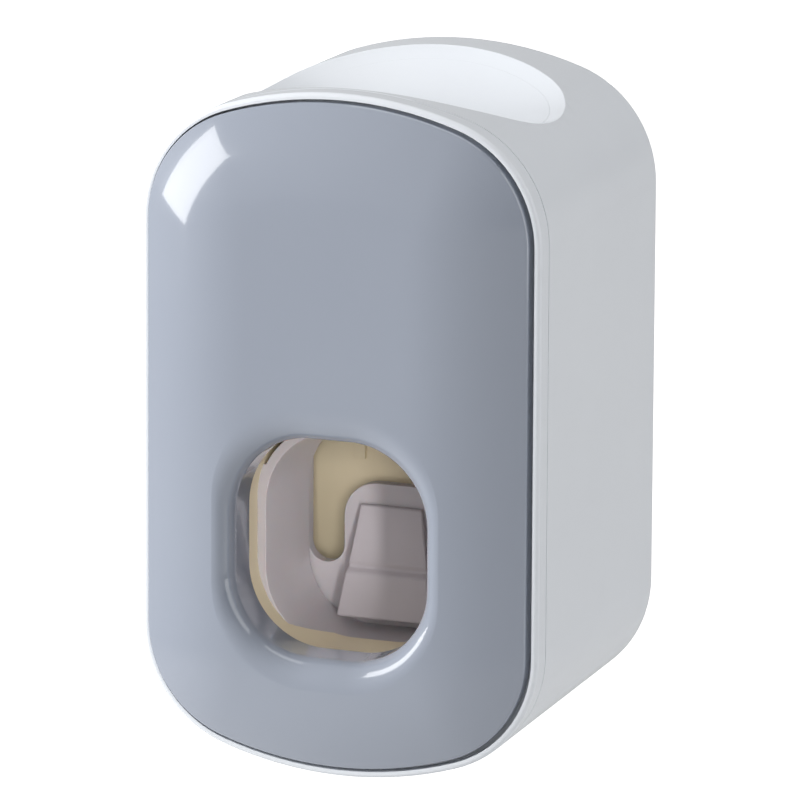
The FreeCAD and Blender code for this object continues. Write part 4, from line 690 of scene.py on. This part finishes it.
# %% Panel
EDGE_BAND, SPREAD_POWER, LIP_DEPTH = 12.5, 1.5, 3.6
BAND_STEPS, SPREAD_STEPS, LIP_STEPS = 30, 30, 16
THROAT_WALL, THROAT_REAR = 2.0, 55.9
HOLLOW_BAND, HOLLOW_FRONT, PANEL_REAR = 9.0, 62.2, 57.5
PANEL_SHIFT, PANEL_ROUND = -0.45, 0.3
panel_rings = []
for step in np.linspace(0, 1, BAND_STEPS):
    points = inset_outline(PANEL_OFF + EDGE_BAND * step)
    panel_rings.append(ring(points, crowned(points)))
band_end = inset_outline(PANEL_OFF + EDGE_BAND)
lip, throat = window_outline(band_end, *DISH), window_outline(band_end, *THROAT)
for step in np.linspace(0, 1, SPREAD_STEPS)[1:] ** SPREAD_POWER:
    points = band_end + (lip - band_end) * step
    panel_rings.append(ring(points, crowned(points)))
for turn in np.linspace(0, math.pi / 2, LIP_STEPS)[1:]:
    points = lip + (throat - lip) * math.sin(turn)
    panel_rings.append(ring(points, crowned(lip) - LIP_DEPTH * (1 - math.cos(turn))))
throat_back = window_outline(band_end, *THROAT, grow=THROAT_WALL)
hollow = inset_outline(PANEL_OFF + HOLLOW_BAND)
back_edge = inset_outline(PANEL_OFF)
for points, forward in ((throat, THROAT_REAR), (throat_back, THROAT_REAR), (throat_back, HOLLOW_FRONT),
                        (hollow, HOLLOW_FRONT), (hollow, PANEL_REAR), (back_edge, PANEL_REAR)):
    panel_rings.append(ring(points, forward))
panel = eased(from_rings("panel", panel_rings, blue_grey, PANEL_SHIFT), PANEL_ROUND)
hand_over(panel, "cover", "blue_grey_gloss", "front_panel")
front_pieces.objects.link(panel)
print("panel has", len(panel.data.polygons), "faces")

# %% [markdown]
# Behind the window, the pump frame's tan plastic lines the gap between the panel and the well. In the
# photograph it is the thin warm strip on the left. A short sleeve with the throat's outline makes it.

# %% Tan lining
LINING_FRONT, LINING_REAR, LINING_GAP, LINING_WALL, LINING_ROUND = 55.6, 44.0, 1.1, 1.2, 0.15
inner = window_outline(band_end, *THROAT, grow=LINING_GAP)
outer = window_outline(band_end, *THROAT, grow=LINING_GAP + LINING_WALL)
lining = from_rings("tan_lining", [ring(outer, LINING_REAR), ring(outer, LINING_FRONT),
                                   ring(inner, LINING_FRONT), ring(inner, LINING_REAR)], tan_matt)
eased(lining, LINING_ROUND)
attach(lining, "housing")
tan_pieces.objects.link(lining)

# %% [markdown]
# Screws and spring grow from Geometry Nodes. A tree takes its sizes as named inputs, so one tree serves
# every size, and it ends by putting its shape on each point of a mesh, turned as that point says.
# The result becomes a plain mesh, which is all that the frame can carry.

# %% Trees that grow pieces
FLOAT, MATERIAL = "NodeSocketFloat", "NodeSocketMaterial"


def node_tree(name, inputs):
    """A Geometry Nodes tree with named inputs, and its input node."""
    made = bpy.data.node_groups.new(name, "GeometryNodeTree")
    made.interface.new_socket("Geometry", in_out="INPUT", socket_type="NodeSocketGeometry")
    for label, kind in inputs:
        made.interface.new_socket(label, in_out="INPUT", socket_type=kind)
    made.interface.new_socket("Geometry", in_out="OUTPUT", socket_type="NodeSocketGeometry")
    return made, made.nodes.new("NodeGroupInput")


def planted(tree, inputs, shape, output):
    """The end of a tree: its shape on every point, turned, made real and given its finish."""
    facing = add(tree, "GeometryNodeInputNamedAttribute", {"data_type": "FLOAT_VECTOR", "Name": "turn"})
    spread = add(tree, "GeometryNodeInstanceOnPoints", {}, [
        ("Points", inputs, "Geometry"), ("Instance", shape, output), ("Rotation", facing, "Attribute")])
    solid = add(tree, "GeometryNodeRealizeInstances", {}, [("Geometry", spread, "Instances")])
    coated = add(tree, "GeometryNodeSetMaterial", {},
                 [("Geometry", solid, 0), ("Material", inputs, "Finish")])
    add(tree, "NodeGroupOutput", {}, [("Geometry", coated, 0)])


def grown(name, points, turns, tree, values, coat):
    """A plain mesh piece from a tree on points; each value is set by its socket's identifier."""
    mesh = bpy.data.meshes.new(name)
    mesh.from_pydata(points, [], [])
    facing = mesh.attributes.new("turn", "FLOAT_VECTOR", "POINT")
    for spot, angle in zip(facing.data, turns):
        spot.vector = angle
    piece = new_piece(name, mesh, coat)
    modifier = piece.modifiers.new("tree", "NODES")
    modifier.node_group = tree
    for item in tree.interface.items_tree:
        if item.in_out == "INPUT" and item.name in values:
            modifier[item.identifier] = values[item.name]
    return evaluated(piece)


# %% [markdown]
# Three sets of small socket screws hold frame, well and panel. They differ only in place, direction
# and length. A screw is a head with a hexagonal socket cut into it, a core below, and a thread, which is
# a wire wound round the core: at this size that is what a rolled thread looks like.

# %% Screw tree
HEAD_SIDES, SOCKET_SIDES, CORE_SIDES, THREAD_SIDES, THREAD_STEPS = 40, 6, 24, 6, 20
THREAD_SHARE, THREAD_END = 0.8, -0.9
screw_tree, given = node_tree("socket_screw", [
    ("Head Radius", FLOAT), ("Head Height", FLOAT), ("Socket Radius", FLOAT), ("Core Radius", FLOAT),
    ("Thread Wire", FLOAT), ("Length", FLOAT), ("Turns", FLOAT), ("Finish", MATERIAL)])
half = add(screw_tree, "ShaderNodeMath", {"operation": "MULTIPLY", 1: 0.5}, [(0, given, "Head Height")])
lift = add(screw_tree, "ShaderNodeCombineXYZ", {}, [("Z", half, 0)])
head = add(screw_tree, "GeometryNodeMeshCylinder", {"Vertices": HEAD_SIDES},
           [("Radius", given, "Head Radius"), ("Depth", given, "Head Height")])
head = add(screw_tree, "GeometryNodeTransform", {}, [("Geometry", head, "Mesh"), ("Translation", lift, 0)])
rise = add(screw_tree, "ShaderNodeCombineXYZ", {}, [("Z", given, "Head Height")])
socket = add(screw_tree, "GeometryNodeMeshCylinder", {"Vertices": SOCKET_SIDES},
             [("Radius", given, "Socket Radius"), ("Depth", given, "Head Height")])
socket = add(screw_tree, "GeometryNodeTransform", {},
             [("Geometry", socket, "Mesh"), ("Translation", rise, 0)])
head = add(screw_tree, "GeometryNodeMeshBoolean", {"operation": "DIFFERENCE"},
           [("Mesh 1", head, "Geometry"), ("Mesh 2", socket, "Geometry")])
down = add(screw_tree, "ShaderNodeMath", {"operation": "MULTIPLY", 1: -0.5}, [(0, given, "Length")])
drop = add(screw_tree, "ShaderNodeCombineXYZ", {}, [("Z", down, 0)])
core = add(screw_tree, "GeometryNodeMeshCylinder", {"Vertices": CORE_SIDES},
           [("Radius", given, "Core Radius"), ("Depth", given, "Length")])
core = add(screw_tree, "GeometryNodeTransform", {}, [("Geometry", core, "Mesh"), ("Translation", drop, 0)])
run = add(screw_tree, "ShaderNodeMath", {"operation": "MULTIPLY", 1: THREAD_SHARE}, [(0, given, "Length")])
low = add(screw_tree, "ShaderNodeMath", {"operation": "MULTIPLY", 1: THREAD_END}, [(0, given, "Length")])
foot = add(screw_tree, "ShaderNodeCombineXYZ", {}, [("Z", low, 0)])
thread = add(screw_tree, "GeometryNodeCurveSpiral", {"Resolution": THREAD_STEPS},
             [("Rotations", given, "Turns"), ("Start Radius", given, "Core Radius"),
              ("End Radius", given, "Core Radius"), ("Height", run, 0)])
wire = add(screw_tree, "GeometryNodeCurvePrimitiveCircle", {"Resolution": THREAD_SIDES},
           [("Radius", given, "Thread Wire")])
thread = add(screw_tree, "GeometryNodeCurveToMesh", {"Fill Caps": True},
             [("Curve", thread, "Curve"), ("Profile Curve", wire, "Curve")])
thread = add(screw_tree, "GeometryNodeTransform", {},
             [("Geometry", thread, "Mesh"), ("Translation", foot, 0)])
screw = add(screw_tree, "GeometryNodeJoinGeometry", {}, [
    ("Geometry", head, "Mesh"), ("Geometry", core, "Geometry"), ("Geometry", thread, "Geometry")])
planted(screw_tree, given, screw, "Geometry")

# %% [markdown]
# A screw in the tree stands on its seat with the head upwards, so each set needs the turn that brings
# "up" to the side its heads are on: forward for the frame, outwards for the well, back for the panel.

# %% Screws
SCREW_SIZES = {"Head Radius": 2.1, "Head Height": 1.6, "Socket Radius": 1.2, "Core Radius": 1.08,
               "Thread Wire": 0.2}
THREAD_PITCH, SCREW_ROUND = 0.8, 0.12
QUARTER = math.pi / 2
HEAD_FORWARD, HEAD_BACK = (QUARTER, 0, 0), (-QUARTER, 0, 0)
HEAD_RIGHT, HEAD_LEFT = (0, QUARTER, 0), (0, -QUARTER, 0)
SCREW_SETS = [
    ("frame_screws", "chassis_screws", "housing", 10.0,
     [((x, 23, z), HEAD_FORWARD) for x in (-28.2, 28.2) for z in (14, -30)]),
    ("ear_screws", "well_screws", "housing", 5.0,
     [((x, 48, z), HEAD_RIGHT if x > 0 else HEAD_LEFT) for x in (-26, 26) for z in (-11, -29)]),
    ("cover_screws", "panel_screws", "cover", 4.1,
     [((x, 56, z), HEAD_BACK) for x in (-28.6, 28.6) for z in (22, -22)]),
]
for name, node, body, length, spots in SCREW_SETS:
    values = {label: size * MM for label, size in SCREW_SIZES.items()}
    values.update({"Length": length * MM, "Turns": THREAD_SHARE * length / THREAD_PITCH, "Finish": steel})
    piece = grown(name, [place(*spot) for spot, angle in spots], [angle for spot, angle in spots],
                  screw_tree, values, steel)
    hand_over(eased(piece, SCREW_ROUND), body, "steel", node)
    print(name, "has", len(piece.data.polygons), "faces")

# %% [markdown]
# The spring that pushes the lever back is one wire wound round the pump's rod. The tree winds it from
# its real sizes.

# %% Return spring
SPRING_BACK, SPRING_FRONT, SPRING_HEIGHT = 9.8, 18.5, 27.0
SPRING_RADIUS, SPRING_WIRE, SPRING_TURNS = 4.4, 0.4, 4.0
COIL_STEPS, WIRE_SIDES = 48, 12
spring_tree, given = node_tree("wound_spring", [
    ("Radius", FLOAT), ("Wire", FLOAT), ("Height", FLOAT), ("Turns", FLOAT), ("Finish", MATERIAL)])
coil = add(spring_tree, "GeometryNodeCurveSpiral", {"Resolution": COIL_STEPS},
           [("Rotations", given, "Turns"), ("Start Radius", given, "Radius"),
            ("End Radius", given, "Radius"), ("Height", given, "Height")])
wire = add(spring_tree, "GeometryNodeCurvePrimitiveCircle", {"Resolution": WIRE_SIDES},
           [("Radius", given, "Wire")])
coil = add(spring_tree, "GeometryNodeCurveToMesh", {"Fill Caps": True},
           [("Curve", coil, "Curve"), ("Profile Curve", wire, "Curve")])
planted(spring_tree, given, coil, "Mesh")
values = {"Radius": SPRING_RADIUS * MM, "Wire": SPRING_WIRE * MM, "Turns": SPRING_TURNS, "Finish": steel,
          "Height": (SPRING_FRONT - SPRING_BACK - 2 * SPRING_WIRE) * MM}
spring = grown("spring", [place(0, SPRING_BACK + SPRING_WIRE, SPRING_HEIGHT)], [HEAD_FORWARD], spring_tree,
               values, steel)
hand_over(eased(spring, 0), "housing", "steel", "return_spring")
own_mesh(spring)
print("spring has", len(spring.data.polygons), "faces")
